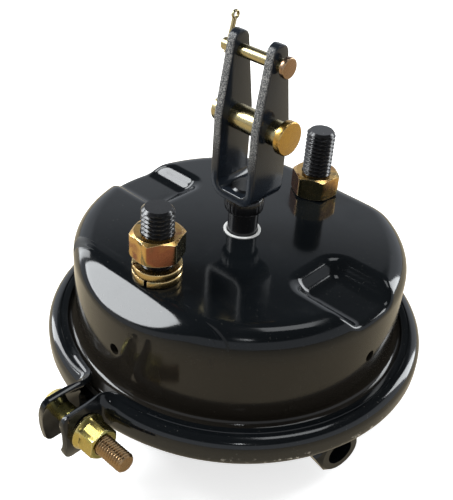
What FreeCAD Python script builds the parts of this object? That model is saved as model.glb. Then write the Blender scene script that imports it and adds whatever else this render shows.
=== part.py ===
import FreeCAD, Part
import math
import os
import re
import Sketcher

# Air brake chamber for a drum brake: a stamped upper housing with two mounting studs, a lower
# pressure plate and a rubber diaphragm, held at the rim by a two-piece clamp ring. A push rod
# with a welded yoke comes out of the top. Millimetres, +Z along the push rod, z = 0 on the
# mounting face, X along the line of the two studs.

SIZES = {
    # Upper housing
    "housing_r": 87.7,
    "sheet": 3.0,
    "shoulder_r": 11.4,
    "rim_bend": 4.0,
    "vent_r": 3.0,
    "vent_drop": 31.0,
    "recess_depth": 7.5,
    "recess_floor_half": 13.0,
    "recess_top_half": 18.5,
    "recess_floor_run": 34.2,
    "recess_top_run": 40.7,
    "recess_floor_round": 4.5,
    "recess_top_round": 9.0,
    "facet_run": 15.7,
    "facet_angle": 36.0,
    # Rim stack and clamp ring
    "rim_width": 8.7,
    "rim_sheet": 3.0,
    "clamp_drop": 59.2,
    "bead": 5.6,
    "clamp_stand": 6.4,
    "clamp_sheet": 2.5,
    "clamp_corner": 6.2,
    "clamp_lip": 10.6,
    "groove_in": 6.2,
    "groove_depth": 0.5,
    "ear_length": 23.2,
    "ear_gap_half": 7.5,
    "ear_sheet": 3.2,
    "ear_half_height": 13.5,
    "ear_bend": 3.2,
    "ear_fold": 8.0,
    "ring_end": 22.0,
    "ear_round": 4.5,
    # Clamp bolts and nuts
    "bolt_out": 11.2,
    "bolt_r": 5.0,
    "bolt_head_r": 9.4,
    "bolt_head": 4.5,
    "bolt_neck": 5.5,
    "bolt_end": 39.0,
    "bolt_point": 1.2,
    "nut_flats": 15.0,
    "nut_height": 12.5,
    "nut_flange_r": 9.4,
    "nut_flange": 2.6,
    "thread_depth": 0.5,
    # Lower pressure plate and its air port
    "dish_step": 1.1,
    "dish_taper": 6.6,
    "dish_drop": 98.0,
    "dish_round": 20.0,
    "port_angle": 258.0,
    "port_clearance": 0.5,
    "port_r": 7.3,
    "port_stand": 8.4,
    "port_flats": 24.0,
    "port_depth": 9.0,
    "port_root": 16.6,
    "port_passage_r": 4.0,
    # Diaphragm
    "rubber": 3.2,
    "rubber_gap": 0.6,
    # Push rod and push plate
    "rod_r": 7.9375,
    "rod_top": 27.0,
    "rod_point": 1.0,
    "plate_inset": 29.7,
    "plate_sheet": 4.0,
    "plate_lip": 7.0,
    # Return spring
    "spring_wire": 5.0,
    "spring_share": 0.41,
    "spring_foot_r": 23.0,
    "spring_turns": 4.5,
    # Guide bush
    "bush_rim_r": 9.83,
    "bush_rim": 0.5,
    "bush_neck_r": 9.0,
    "bush_flange_r": 13.0,
    "bush_flange": 2.5,
    "bush_lead": 0.45,
    # Yoke and its weld
    "yoke_sheet": 5.0,
    "yoke_gap_half": 9.4,
    "yoke_base": 21.0,
    "yoke_bend": 7.0,
    "yoke_half_width": 11.3,
    "yoke_shoulder": 64.0,
    "yoke_top": 104.5,
    "yoke_tip_half": 5.4,
    "yoke_tip_round": 5.6,
    "yoke_base_round": 3.5,
    "weld_base": 13.0,
    "weld_r": 12.5,
    "inner_weld": 1.6,
    # Clevis pin and link pin
    "clevis_pin_z": 61.7,
    "clevis_pin_r": 6.35,
    "clevis_head_r": 8.5,
    "clevis_head": 3.8,
    "clevis_head_face": 24.6,
    "clevis_pin_end": 22.0,
    "link_pin_z": 95.0,
    "link_pin_r": 3.175,
    "link_head_r": 5.1,
    "link_head": 2.5,
    "link_head_face": 20.0,
    "link_pin_end": 21.0,
    "cotter_y": 18.0,
    "clevis_cotter_r": 1.6,
    "clevis_cotter_up": 12.0,
    "clevis_cotter_down": 8.5,
    "link_cotter_r": 1.2,
    "link_cotter_up": 16.6,
    "link_cotter_down": 5.0,
    "cotter_tilt": 15.0,
    # Mounting studs with their nuts and spring washers
    "stud_inset": 27.375,
    "stud_r": 7.9375,
    "stud_core_r": 7.1875,
    "stud_top": 38.1,
    "stud_chamfer": 1.6,
    "stud_head_r": 10.5,
    "stud_head": 4.5,
    "stud_nut_flats": 23.81,
    "stud_nut_height": 12.8,
    "nut_chamfer_angle": 30.0,
    "left_nut_seat": 12.2,
    "right_nut_seat": 0.25,
    "washer_r": 12.2,
    "washer_bore_r": 8.3,
    "washer": 4.0,
    "washer_bevel": 0.6,
    "washer_slit": 1.6,
    # Clearances
    "seat_gap": 0.05,
    "running_gap": 0.06,
}

# Sizes that follow from the driving ones, in the same sheet
DERIVED = {
    "recess_floor_in": "housing_r - recess_floor_run",
    "recess_top_in": "housing_r - recess_top_run",
    "facet_chord": "housing_r - facet_run",
    "rim_r": "housing_r + rim_width",
    "clamp_r": "rim_r + clamp_stand",
    "lip_in_r": "clamp_r - clamp_lip",
    "groove_r": "clamp_r - groove_in",
    "ear_reach": "clamp_r + ear_length",
    "bolt_x": "clamp_r + bolt_out",
    "dish_top_r": "housing_r - dish_step",
    "dish_floor_r": "dish_top_r - dish_taper",
    "port_drop": "clamp_drop + bead / 2 + rim_sheet + clamp_sheet + port_flats / 2 + port_clearance",
    "port_reach": "dish_top_r + port_stand",
    "port_foot": "dish_top_r - port_root",
    "plate_r": "housing_r - plate_inset",
    "spring_top_r": "housing_r * spring_share",
    "stud_spacing": "(housing_r - stud_inset) * 2",
}

doc = FreeCAD.newDocument("air_brake_chamber")
sheet = doc.addObject("Spreadsheet::Sheet", "Sizes")
formulas = {name: "=" + text for name, text in DERIVED.items()}
NAMES = {**SIZES, **formulas}
for row, (name, value) in enumerate(NAMES.items(), start=1):
    sheet.set("A%d" % row, name)
    sheet.set("B%d" % row, str(value))
    sheet.setAlias("B%d" % row, name)
doc.recompute()

# Sizes that follow from the driving ones, as expressions used in several places
RIM_TOP = "(clamp_drop - bead / 2 - rim_sheet)"
BEAD_TOP = "(clamp_drop - bead / 2)"
BEAD_FOOT = "(clamp_drop + bead / 2)"
RIM_FOOT = "(clamp_drop + bead / 2 + rim_sheet)"
CLAMP_TOP = "(clamp_drop - bead / 2 - rim_sheet - clamp_sheet)"
CLAMP_FOOT = "(clamp_drop + bead / 2 + rim_sheet + clamp_sheet)"
EAR_FACE = "(ear_gap_half + ear_sheet)"
YOKE_HALF = "(yoke_gap_half + yoke_sheet)"
YOKE_FLOOR = "(yoke_base + yoke_sheet)"
DISH_FLOOR = "(dish_drop - rim_sheet)"
RUBBER_FLOOR = "(dish_drop - rim_sheet - rubber_gap - rubber)"
PLATE_FOOT = "(dish_drop - rim_sheet - rubber_gap * 2 - rubber)"
PLATE_TOP = "(dish_drop - rim_sheet - rubber_gap * 2 - rubber - plate_sheet)"

pieces = []


def bind(text):
    """Turn a text of size names into an expression on the sheet's cells."""
    return re.sub(r"[a-z]\w*", lambda word: "Sizes." + word[0] if word[0] in NAMES else word[0], str(text))


def number(text):
    """Present value of a text of size names."""
    return float(sheet.evalExpression(bind(text)))


def set_size(item, path, text):
    """Bind one property of an object to a text of size names."""
    item.setExpression(path, bind(text))


def new_body(name):
    """Body with the given label, which also names its file."""
    body = doc.addObject("PartDesign::Body", name)
    body.Label = name
    return body


def new_sketch(body, plane, offset="0"):
    """Sketch on one of the body's own origin planes, moved off it by offset."""
    sketch = body.newObject("Sketcher::SketchObject", body.Name + "_sketch")
    base = [item for item in body.Origin.OriginFeatures if item.Role == plane][0]
    sketch.AttachmentSupport = [(base, "")]
    sketch.MapMode = "FlatFace"
    if offset != "0":
        set_size(sketch, "AttachmentOffset.Base.z", offset)
    return sketch


def place(sketch, geometry, position, point):
    """Hold one point of a sketch at a pair of texts of size names."""
    for kind, text in zip(("DistanceX", "DistanceY"), point):
        index = sketch.addConstraint(Sketcher.Constraint(kind, geometry, position, number(text)))
        if re.search("[a-z]", text):
            set_size(sketch, "Constraints[%d]" % index, text)


def outline(sketch, corners):
    """Closed outline through corners (x, y) or (x, y, radius), where a radius rounds the corner."""
    count = len(corners)
    spots = [FreeCAD.Vector(number(corner[0]), number(corner[1]), 0) for corner in corners]
    starts = list(spots)
    ends = list(spots)
    arcs = {}
    for i, corner in enumerate(corners):
        if len(corner) < 3:
            continue
        back = (spots[i - 1] - spots[i]).normalize()
        ahead = (spots[(i + 1) % count] - spots[i]).normalize()
        half = back.getAngle(ahead) / 2
        radius = number(corner[2])
        ends[i] = spots[i] + back * (radius / math.tan(half))
        starts[i] = spots[i] + ahead * (radius / math.tan(half))
        centre = spots[i] + (back + ahead).normalize() * (radius / math.sin(half))
        turns_left = ahead.cross(back).z > 0
        from_angle, to_angle = [math.atan2(spot.y - centre.y, spot.x - centre.x) for spot in (ends[i], starts[i])]
        if not turns_left:
            from_angle, to_angle = to_angle, from_angle
        if to_angle < from_angle:
            to_angle += 2 * math.pi
        round_edge = Part.Circle(centre, FreeCAD.Vector(0, 0, 1), radius)
        arcs[i] = (Part.ArcOfCircle(round_edge, from_angle, to_angle), 1 if turns_left else 2)
    lines = []
    for i in range(count):
        line = Part.LineSegment(starts[i], ends[(i + 1) % count])
        lines.append(sketch.addGeometry(line, False))
    for i, corner in enumerate(corners):
        before = lines[i - 1]
        after = lines[i]
        if i not in arcs:
            sketch.addConstraint(Sketcher.Constraint("Coincident", before, 2, after, 1))
            place(sketch, after, 1, corner[:2])
            continue
        arc = sketch.addGeometry(arcs[i][0], False)
        first = arcs[i][1]
        peak = sketch.addGeometry(Part.Point(spots[i]), True)
        place(sketch, peak, 1, corner[:2])
        sketch.addConstraint(Sketcher.Constraint("PointOnObject", peak, 1, before))
        sketch.addConstraint(Sketcher.Constraint("PointOnObject", peak, 1, after))
        sketch.addConstraint(Sketcher.Constraint("Tangent", before, 2, arc, first))
        sketch.addConstraint(Sketcher.Constraint("Tangent", after, 1, arc, 3 - first))
        index = sketch.addConstraint(Sketcher.Constraint("Radius", arc, number(corner[2])))
        set_size(sketch, "Constraints[%d]" % index, corner[2])


def circle(sketch, x, y, radius):
    """Circle of a sketch, its centre and radius given as texts of size names."""
    centre = FreeCAD.Vector(number(x), number(y), 0)
    ring = sketch.addGeometry(Part.Circle(centre, FreeCAD.Vector(0, 0, 1), number(radius)), False)
    place(sketch, ring, 3, (x, y))
    index = sketch.addConstraint(Sketcher.Constraint("Radius", ring, number(radius)))
    set_size(sketch, "Constraints[%d]" % index, radius)


def hexagon(sketch, flats, turn=0.0):
    """Hexagon about the sketch's origin, with the given size across flats."""
    corners = []
    for i in range(6):
        angle = 60 * i + turn
        corners.append(("%s / sqrt(3) * cos(%s)" % (flats, angle), "%s / sqrt(3) * sin(%s)" % (flats, angle)))
    outline(sketch, corners)


def revolve(body, corners, angle=360.0, plane="XZ_Plane", cut=False):
    """Turn an outline (distance from the axis, height) about the body's Z axis."""
    sketch = new_sketch(body, plane)
    outline(sketch, corners)
    kind = "PartDesign::Groove" if cut else "PartDesign::Revolution"
    feature = body.newObject(kind, body.Name + "_turn")
    feature.Profile = sketch
    feature.ReferenceAxis = (sketch, ["V_Axis"])
    feature.Angle = angle
    doc.recompute()
    return feature


def extrude(body, plane, draw, length, offset="0", cut=False, middle=False, back=False):
    """Pad or pocket the outline that draw makes on a new sketch."""
    sketch = new_sketch(body, plane, offset)
    draw(sketch)
    kind = "PartDesign::Pocket" if cut else "PartDesign::Pad"
    feature = body.newObject(kind, body.Name + "_run")
    feature.Profile = sketch
    set_size(feature, "Length", length)
    feature.Midplane = middle
    feature.Reversed = back
    doc.recompute()
    return feature


def mirror(body, features, plane):
    """Repeat features on the other side of one of the body's origin planes."""
    copy = body.newObject("PartDesign::Mirrored", body.Name + "_mirror")
    copy.Originals = features
    base = [item for item in body.Origin.OriginFeatures if item.Role == plane][0]
    copy.MirrorPlane = (base, [""])
    body.Tip = copy
    doc.recompute()
    return copy


def cylinder(name, radius, length, base=("0", "0", "0"), turn=None):
    """Plain cylinder of the document, its axis along Z unless turned."""
    item = doc.addObject("Part::Cylinder", name)
    set_size(item, "Radius", radius)
    set_size(item, "Height", length)
    if turn:
        item.Placement = FreeCAD.Placement(FreeCAD.Vector(0, 0, 0), turn)
    for axis, text in zip("xyz", base):
        if re.search("[a-z]", text):
            set_size(item, "Placement.Base." + axis, text)
    return item


def combine(kind, name, base, tool):
    """Cut, fuse or common of two objects, under the name of the piece that it makes."""
    item = doc.addObject(kind, name)
    item.Label = name
    item.Base = base
    item.Tool = tool
    doc.recompute()
    return item


def gather(name, items):
    """Several tools as one object."""
    item = doc.addObject("Part::MultiFuse", name)
    item.Shapes = items
    return item


def keep(item):
    """Count an object among the pieces that are written out."""
    pieces.append(item)
    return item


# Sections along each turn of the coil spring, and how far the fitted hexagons are turned, in degrees
SPRING_RINGS = 20
LEFT_NUT_TURN = 24.9
RIGHT_NUT_TURN = -5.0
PORT_TURN = 30

UP = FreeCAD.Vector(0, 0, 1)
ALONG_X = FreeCAD.Rotation(FreeCAD.Vector(0, 1, 0), 90)
ALONG_Y = FreeCAD.Rotation(FreeCAD.Vector(1, 0, 0), -90)
AGAINST_Y = FreeCAD.Rotation(FreeCAD.Vector(1, 0, 0), 90)
HALF_TURN = FreeCAD.Rotation(FreeCAD.Vector(0, 0, 1), 180)


def housing_form(name, inset):
    """Solid form of the upper housing, its skin moved inwards by inset."""
    body = new_body(name)
    wall = "(housing_r - %s)" % inset
    corners = [("0", "-%s" % inset), (wall, "-%s" % inset, "shoulder_r - %s" % inset)]
    if inset == "0":
        corners += [(wall, "-" + RIM_TOP, "rim_bend"), ("rim_r", "-" + RIM_TOP), ("rim_r", "-" + BEAD_TOP)]
        corners += [("0", "-" + BEAD_TOP)]
    else:
        corners += [(wall, "-(%s - rim_bend)" % BEAD_TOP), (wall + " + rim_bend", "-%s" % BEAD_TOP)]
        corners += [(wall + " + rim_bend", "-(%s + 1)" % BEAD_TOP), ("0", "-(%s + 1)" % BEAD_TOP)]
    revolve(body, corners)
    # Sloping recess that opens outwards over the shoulder, one each side
    slope = "((recess_top_half - recess_floor_half) / recess_depth)"
    grow = "(%s * (sqrt(1 + %s * %s) - %s))" % (inset, slope, slope, slope)
    sections = []
    levels = [("-%s" % inset, "top"), ("-(%s + recess_depth)" % inset, "floor")]
    for level, part in levels:
        sketch = new_sketch(body, "XY_Plane", level)
        half = "(recess_%s_half + %s)" % (part, grow)
        inner = "(recess_%s_in - %s)" % (part, grow)
        radius = "recess_%s_round + %s" % (part, grow)
        open_end = "(rim_r + rim_bend)"
        outline(sketch, [(half, open_end), (half, inner, radius), ("-" + half, inner, radius),
                         ("-" + half, open_end)])
        sections.append(sketch)
    recess = body.newObject("PartDesign::SubtractiveLoft", name + "_recess")
    recess.Profile = sections[0]
    recess.Sections = [sections[1]]
    recess.Ruled = True
    doc.recompute()
    mirror(body, [recess], "XZ_Plane")
    # Flat facet that slopes down to the wall, one at each stud
    drop = "tan(facet_angle)"
    shift = "(%s / cos(facet_angle))" % inset
    far = "(housing_r + rim_bend)"

    def facet(sketch):
        """Area above the sloping plane, from its chord on the top out past the wall."""
        outline(sketch, [("facet_chord - (%s / %s)" % (shift, drop), "0"), (far, "0"),
                         (far, "-((%s - facet_chord) * %s + %s)" % (far, drop, shift))])

    cut = extrude(body, "XZ_Plane", facet, "housing_r * 2", cut=True, middle=True)
    mirror(body, [cut], "YZ_Plane")
    return body


def make_housing():
    """Stamped upper housing with its recesses, facets, stud holes, centre hole and four vents."""
    outer = housing_form("housing_outer", "0")
    core = housing_form("housing_core", "sheet")
    shell = combine("Part::Cut", "housing_shell", outer, core)
    length = "sheet * 4"
    drills = [cylinder("centre_hole", "bush_neck_r + seat_gap", length, ("0", "0", "-sheet * 2"))]
    for side, sign in (("left", "-"), ("right", "")):
        spot = (sign + "stud_spacing / 2", "0", "-sheet * 2")
        drills.append(cylinder("stud_hole_" + side, "stud_core_r + seat_gap", length, spot))
    drills.append(cylinder("vents_x", "vent_r", "housing_r * 3", ("-housing_r * 1.5", "0", "-vent_drop"), ALONG_X))
    drills.append(cylinder("vents_y", "vent_r", "housing_r * 3", ("0", "-housing_r * 1.5", "-vent_drop"), ALONG_Y))
    return keep(combine("Part::Cut", "non_pressure_housing", shell, gather("housing_drills", drills)))


def dish_outline(inset, top, floor):
    """Corners of the pressure plate's dish, from the axis to the rim, moved inwards by inset."""
    return [("0", "-" + floor), ("dish_floor_r - %s" % inset, "-" + floor, "dish_round - %s" % inset),
            ("dish_top_r - %s" % inset, "-" + top, "rim_bend + %s" % inset), ("rim_r", "-" + top)]


def make_pressure_plate():
    """Lower dish with a flat rim, and an air passage behind its port."""
    shell = new_body("dish_shell")
    outer = dish_outline("0", RIM_FOOT, "dish_drop")
    inner = dish_outline("rim_sheet", BEAD_FOOT, DISH_FLOOR)
    revolve(shell, outer + inner[::-1])
    passage = turned_port(cylinder("port_passage", "port_passage_r", "port_reach - port_foot"), "port_foot")
    return keep(combine("Part::Cut", "pressure_plate", shell, passage))


def turned_port(item, start):
    """Lay an object that points along Z so that it points out of the port, start from the axis."""
    item.setExpression("Placement.Base.x", bind("%s * cos(port_angle)" % start))
    item.setExpression("Placement.Base.y", bind("%s * sin(port_angle)" % start))
    item.setExpression("Placement.Base.z", bind("-port_drop"))
    angle = number("port_angle")
    aim = FreeCAD.Rotation(FreeCAD.Vector(0, 0, 1), angle)
    item.Placement = FreeCAD.Placement(item.Placement.Base, aim.multiply(ALONG_X))
    return item


def make_port_boss():
    """Six-sided port boss, shaped to the dish that it is welded on, with a threaded bore."""
    block = new_body("port_block")
    extrude(block, "XY_Plane", lambda sketch: hexagon(sketch, "port_flats", PORT_TURN), "port_reach - port_foot")
    extrude(block, "XY_Plane", lambda sketch: circle(sketch, "0", "0", "port_r"), "port_depth",
            "port_reach - port_foot", cut=True)
    revolve(block, [("port_flats / 2 - 1", "port_reach - port_foot + 0.01"),
                    ("port_flats", "port_reach - port_foot + 0.01"),
                    ("port_flats", "port_reach - port_foot - port_flats / 2 - 1")], cut=True)
    turned_port(block, "port_foot")
    form = new_body("dish_form")
    grown = dish_outline("(0 - seat_gap)", "(%s + seat_gap)" % RIM_FOOT, "(dish_drop + seat_gap)")
    revolve(form, grown + [("rim_r", "-" + BEAD_TOP), ("0", "-" + BEAD_TOP)])
    body = combine("Part::Cut", "port_boss_blank", block, form)
    passage = turned_port(cylinder("boss_passage", "port_passage_r", "port_reach - port_foot"), "port_foot")
    return keep(combine("Part::Cut", "port_boss", body, passage))


def make_diaphragm():
    """Rubber diaphragm at rest: a bead in the rim stack and a cup that lies in the dish."""
    body = new_body("diaphragm")
    gap = "(rim_sheet + rubber_gap)"
    outer = dish_outline(gap, BEAD_FOOT, "(%s + rubber)" % RUBBER_FLOOR)
    top = ("rim_r - 1", "-" + BEAD_TOP)
    wall = "dish_top_r - %s - rubber" % gap
    inner = [("0", "-" + RUBBER_FLOOR),
             ("dish_floor_r - %s - rubber" % gap, "-" + RUBBER_FLOOR, "dish_round - %s - rubber" % gap),
             (wall, "-" + BEAD_TOP)]
    foot = [(point[0].replace("rim_r", "rim_r - 1"), point[1]) + point[2:] for point in outer]
    revolve(body, foot + [top] + inner[::-1])
    return keep(body)


def make_push_plate():
    """Round plate with a raised rim that bears on the diaphragm."""
    body = new_body("push_plate")
    lip = "(plate_r - plate_sheet)"
    revolve(body, [("rod_r + seat_gap", "-" + PLATE_FOOT), ("plate_r", "-" + PLATE_FOOT, "plate_sheet * 1.5"),
                   ("plate_r", "-(%s - plate_lip)" % PLATE_TOP), (lip, "-(%s - plate_lip)" % PLATE_TOP),
                   (lip, "-" + PLATE_TOP, "plate_sheet / 2"), ("rod_r + seat_gap", "-" + PLATE_TOP)])
    return keep(body)


def make_push_rod():
    """Push rod, riveted in the push plate and standing through the yoke's base."""
    body = new_body("push_rod")
    revolve(body, [("0", "-" + PLATE_FOOT), ("rod_r", "-" + PLATE_FOOT), ("rod_r", "rod_top - rod_point"),
                   ("rod_r - rod_point", "rod_top"), ("0", "rod_top")])
    return keep(body)


def make_return_spring():
    """Cone-shaped coil spring between the housing and the push plate."""
    low = number(PLATE_TOP)
    high = number("sheet")
    wire = number("spring_wire")
    foot_r = number("spring_foot_r")
    top_r = number("spring_top_r")
    rise = low - high - wire - number("rubber_gap")
    pitch = rise / number("spring_turns")
    narrowing = (top_r - foot_r) / number("spring_turns")
    count = round(number("spring_turns") * SPRING_RINGS)
    rings = []
    for step in range(count + 1):
        share = step / count
        angle = 2 * math.pi * number("spring_turns") * share
        out = FreeCAD.Vector(math.cos(angle), math.sin(angle), 0)
        side = FreeCAD.Vector(-math.sin(angle), math.cos(angle), 0)
        radius = foot_r + (top_r - foot_r) * share
        run = out * narrowing + side * (2 * math.pi * radius) + UP * pitch
        centre = out * radius + UP * (rise * share)
        rings.append(Part.Wire([Part.makeCircle(wire / 2, centre, run)]))
    faces = [Part.Face(rings[0]), Part.Face(rings[-1])]
    for start in range(0, count, SPRING_RINGS):
        faces += Part.makeLoft(rings[start:start + SPRING_RINGS + 1], False, True).Faces
    shell = Part.Shell(faces)
    shell.sewShape()
    coil = Part.Solid(shell)
    item = doc.addObject("Part::Feature", "return_spring")
    item.Label = "return_spring"
    item.Shape = coil
    base_z = -low + wire / 2 + number("rubber_gap") / 2
    item.Placement = FreeCAD.Placement(FreeCAD.Vector(0, 0, base_z), FreeCAD.Rotation())
    return keep(item)


def make_bush():
    """Guide bush of the push rod, snapped into the housing's centre hole."""
    body = new_body("rod_guide_bush")
    bore = "(rod_r + running_gap)"
    revolve(body, [(bore, "-(sheet + bush_flange)"), ("bush_flange_r", "-(sheet + bush_flange)"),
                   ("bush_flange_r", "-sheet"), ("bush_neck_r", "-sheet"), ("bush_neck_r", "0"),
                   ("bush_rim_r", "0"), ("bush_rim_r", "bush_rim"), (bore + " + bush_lead", "bush_rim"),
                   (bore, "bush_rim - bush_lead")])
    return keep(body)


def make_yoke():
    """U-shaped strap with tapered arms, two pairs of pin holes and a hole for the rod."""
    strap = new_body("yoke_strap")

    def strap_side(sketch):
        """The strap seen along X."""
        outer_bend = "yoke_bend + yoke_sheet"
        outline(sketch, [("-" + YOKE_HALF, "yoke_top"), ("-" + YOKE_HALF, "yoke_base", outer_bend),
                         (YOKE_HALF, "yoke_base", outer_bend), (YOKE_HALF, "yoke_top"),
                         ("yoke_gap_half", "yoke_top"), ("yoke_gap_half", YOKE_FLOOR, "yoke_bend"),
                         ("-yoke_gap_half", YOKE_FLOOR, "yoke_bend"), ("-yoke_gap_half", "yoke_top")])

    extrude(strap, "YZ_Plane", strap_side, "yoke_half_width * 2", middle=True)
    arms = new_body("yoke_arms")

    def arm_face(sketch):
        """The strap seen along Y: straight, then tapered to a round end."""
        right = [("yoke_half_width", "yoke_base", "yoke_base_round"), ("yoke_half_width", "yoke_shoulder", "60"),
                 ("yoke_tip_half", "yoke_top", "yoke_tip_round")]
        left = [("-" + corner[0],) + corner[1:] for corner in right[::-1]]
        outline(sketch, right + left)

    extrude(arms, "XZ_Plane", arm_face, "yoke_half_width * 4", middle=True)
    blank = combine("Part::Common", "yoke_blank", strap, arms)
    holes = [cylinder("rod_hole", "rod_r + seat_gap", "yoke_sheet * 3", ("0", "0", "yoke_base - yoke_sheet"))]
    for pin in ("clevis", "link"):
        spot = ("0", "-" + YOKE_HALF + " * 1.5", pin + "_pin_z")
        holes.append(cylinder(pin + "_pin_hole", pin + "_pin_r + running_gap", YOKE_HALF + " * 3", spot, ALONG_Y))
    return keep(combine("Part::Cut", "yoke", blank, gather("yoke_holes", holes)))


def make_yoke_weld():
    """Weld beads that join the rod to the yoke's base, below and inside it."""
    body = new_body("yoke_weld_below")
    inner = "(rod_r + seat_gap)"
    revolve(body, [(inner, "weld_base"), ("weld_r", "yoke_base - 1"), ("weld_r", "yoke_base"), (inner, "yoke_base")])
    bead = new_body("yoke_weld_inside")
    crown = "(rod_r - rod_point)"
    revolve(bead, [("0", "rod_top"), (crown, "rod_top"), (crown + " * 0.7", "rod_top + inner_weld * 0.8"),
                   ("0", "rod_top + inner_weld")])
    group = doc.addObject("Part::Compound", "yoke_weld")
    group.Label = "yoke_weld"
    group.Links = [body, bead]
    return keep(group)


def make_pin(pin):
    """Headed pin across the yoke with a cross hole for its cotter. It points along +Y."""
    body = new_body(pin + "_pin_turned")
    radius = pin + "_pin_r"
    head = pin + "_head"
    face = "-%s_head_face" % pin
    end = pin + "_pin_end"
    revolve(body, [("0", face), (head + "_r - 0.6", face), (head + "_r", face + " + 0.6"),
                   (head + "_r", "%s + %s" % (face, head)), (radius, "%s + %s" % (face, head)),
                   (radius, end + " - 1"), (radius + " - 1", end), ("0", end)])
    body.Placement.Rotation = ALONG_Y
    set_size(body, "Placement.Base.z", pin + "_pin_z")
    reach = pin + "_pin_r * 2"
    drill = cylinder(pin + "_cotter_hole", pin + "_cotter_r + running_gap", reach + " * 2")
    tilt_cotter(drill, pin, "-" + reach)
    return keep(combine("Part::Cut", pin + "_pin", body, drill))


def tilt_cotter(item, pin, start):
    """Lay an object that points along Z on the cotter's line, start from the pin's axis."""
    item.Placement.Rotation = FreeCAD.Rotation(FreeCAD.Vector(0, 1, 0), number("cotter_tilt"))
    set_size(item, "Placement.Base.x", "(%s) * sin(cotter_tilt)" % start)
    set_size(item, "Placement.Base.y", "cotter_y")
    set_size(item, "Placement.Base.z", "%s_pin_z + (%s) * cos(cotter_tilt)" % (pin, start))


def make_cotter(pin):
    """Split pin with straight legs and a round eye below the pin that it locks."""
    radius = pin + "_cotter_r"
    down = pin + "_cotter_down"
    legs = cylinder(pin + "_cotter_legs", radius, "%s + %s_cotter_up" % (down, pin))
    tilt_cotter(legs, pin, "-" + down)
    eye = doc.addObject("Part::Torus", pin + "_cotter_eye")
    set_size(eye, "Radius1", radius + " * 1.7")
    set_size(eye, "Radius2", radius + " * 0.75")
    tilt = FreeCAD.Rotation(FreeCAD.Vector(0, 1, 0), number("cotter_tilt"))
    start = "-(%s + %s * 1.7)" % (down, radius)
    tilt_cotter(eye, pin, start)
    eye.Placement.Rotation = tilt.multiply(AGAINST_Y)
    return keep(combine("Part::Fuse", pin + "_cotter", legs, eye))


def make_stud(side, sign, seat):
    """Mounting stud with its head inside the housing, threaded above its nut."""
    body = new_body("stud_" + side)
    crest = "(%s + stud_nut_height)" % seat
    revolve(body, [("0", "-(sheet + stud_head)"), ("stud_head_r", "-(sheet + stud_head)"),
                   ("stud_head_r", "-sheet"), ("stud_core_r", "-sheet"), ("stud_core_r", crest),
                   ("stud_r", crest), ("stud_r", "stud_top - stud_chamfer"),
                   ("stud_r - stud_chamfer", "stud_top"), ("0", "stud_top")])
    set_size(body, "Placement.Base.x", sign + "stud_spacing / 2")
    return keep(body)


def make_stud_nut(side, sign, seat, turn):
    """Hexagon nut of a mounting stud, chamfered at both ends."""
    body = new_body("stud_nut_" + side)
    extrude(body, "XY_Plane", lambda sketch: hexagon(sketch, "stud_nut_flats"), "stud_nut_height")
    extrude(body, "XY_Plane", lambda sketch: circle(sketch, "0", "0", "stud_core_r + seat_gap"),
            "stud_nut_height", "stud_nut_height", cut=True)
    inner = "(stud_nut_flats / 2 * 0.99)"
    outer = "(stud_nut_flats / sqrt(3) + 0.5)"
    revolve(body, [(inner, "stud_nut_height"), (outer, "stud_nut_height"),
                   (outer, "stud_nut_height - (%s - %s) * tan(nut_chamfer_angle)" % (outer, inner))], cut=True)
    revolve(body, [(inner, "0"), (outer, "(%s - %s) * tan(nut_chamfer_angle)" % (outer, inner)),
                   (outer, "0")], cut=True)
    body.Placement.Rotation = FreeCAD.Rotation(FreeCAD.Vector(0, 0, 1), turn)
    set_size(body, "Placement.Base.x", sign + "stud_spacing / 2")
    set_size(body, "Placement.Base.z", seat)
    return keep(body)


def make_spring_washer(name, seat):
    """Split spring washer with bevelled edges, on the left stud."""
    body = new_body(name)
    rim = "washer_r - washer_bevel"
    revolve(body, [("washer_bore_r", "0"), (rim, "0"), ("washer_r", "washer_bevel"),
                   ("washer_r", "washer - washer_bevel"), (rim, "washer"), ("washer_bore_r", "washer")])

    def slit(sketch):
        """Slanted slit through the ring, seen from outside it."""
        outline(sketch, [("-washer_slit / 2 - washer / 3", "-1"), ("washer_slit / 2 - washer / 3", "-1"),
                         ("washer_slit / 2 + washer / 3", "washer + 1"),
                         ("-washer_slit / 2 + washer / 3", "washer + 1")])

    extrude(body, "XZ_Plane", slit, "washer_r * 1.2", cut=True)
    set_size(body, "Placement.Base.x", "-stud_spacing / 2")
    set_size(body, "Placement.Base.z", seat)
    body.Placement.Rotation = HALF_TURN
    return keep(body)


def clamp_section():
    """Corners of the clamp's channel: lips on the rim stack, a groove in each, and a round-cornered web."""
    inner_r = "(clamp_r - clamp_sheet)"
    bend = "clamp_corner - clamp_sheet"
    seat_top = "-%s" % RIM_TOP
    seat_foot = "-%s" % RIM_FOOT
    top = "-" + CLAMP_TOP
    foot = "-" + CLAMP_FOOT
    return [("lip_in_r", seat_top), ("lip_in_r", top),
            ("groove_r - groove_depth * 2", top), ("groove_r - groove_depth", top + " - groove_depth"),
            ("groove_r", top), ("clamp_r", top, "clamp_corner * 0.98"), ("clamp_r", foot, "clamp_corner * 0.98"),
            ("groove_r", foot), ("groove_r - groove_depth", foot + " + groove_depth"),
            ("groove_r - groove_depth * 2", foot), ("lip_in_r", foot), ("lip_in_r", seat_foot),
            (inner_r, seat_foot, bend), (inner_r, seat_top, bend)]


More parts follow.
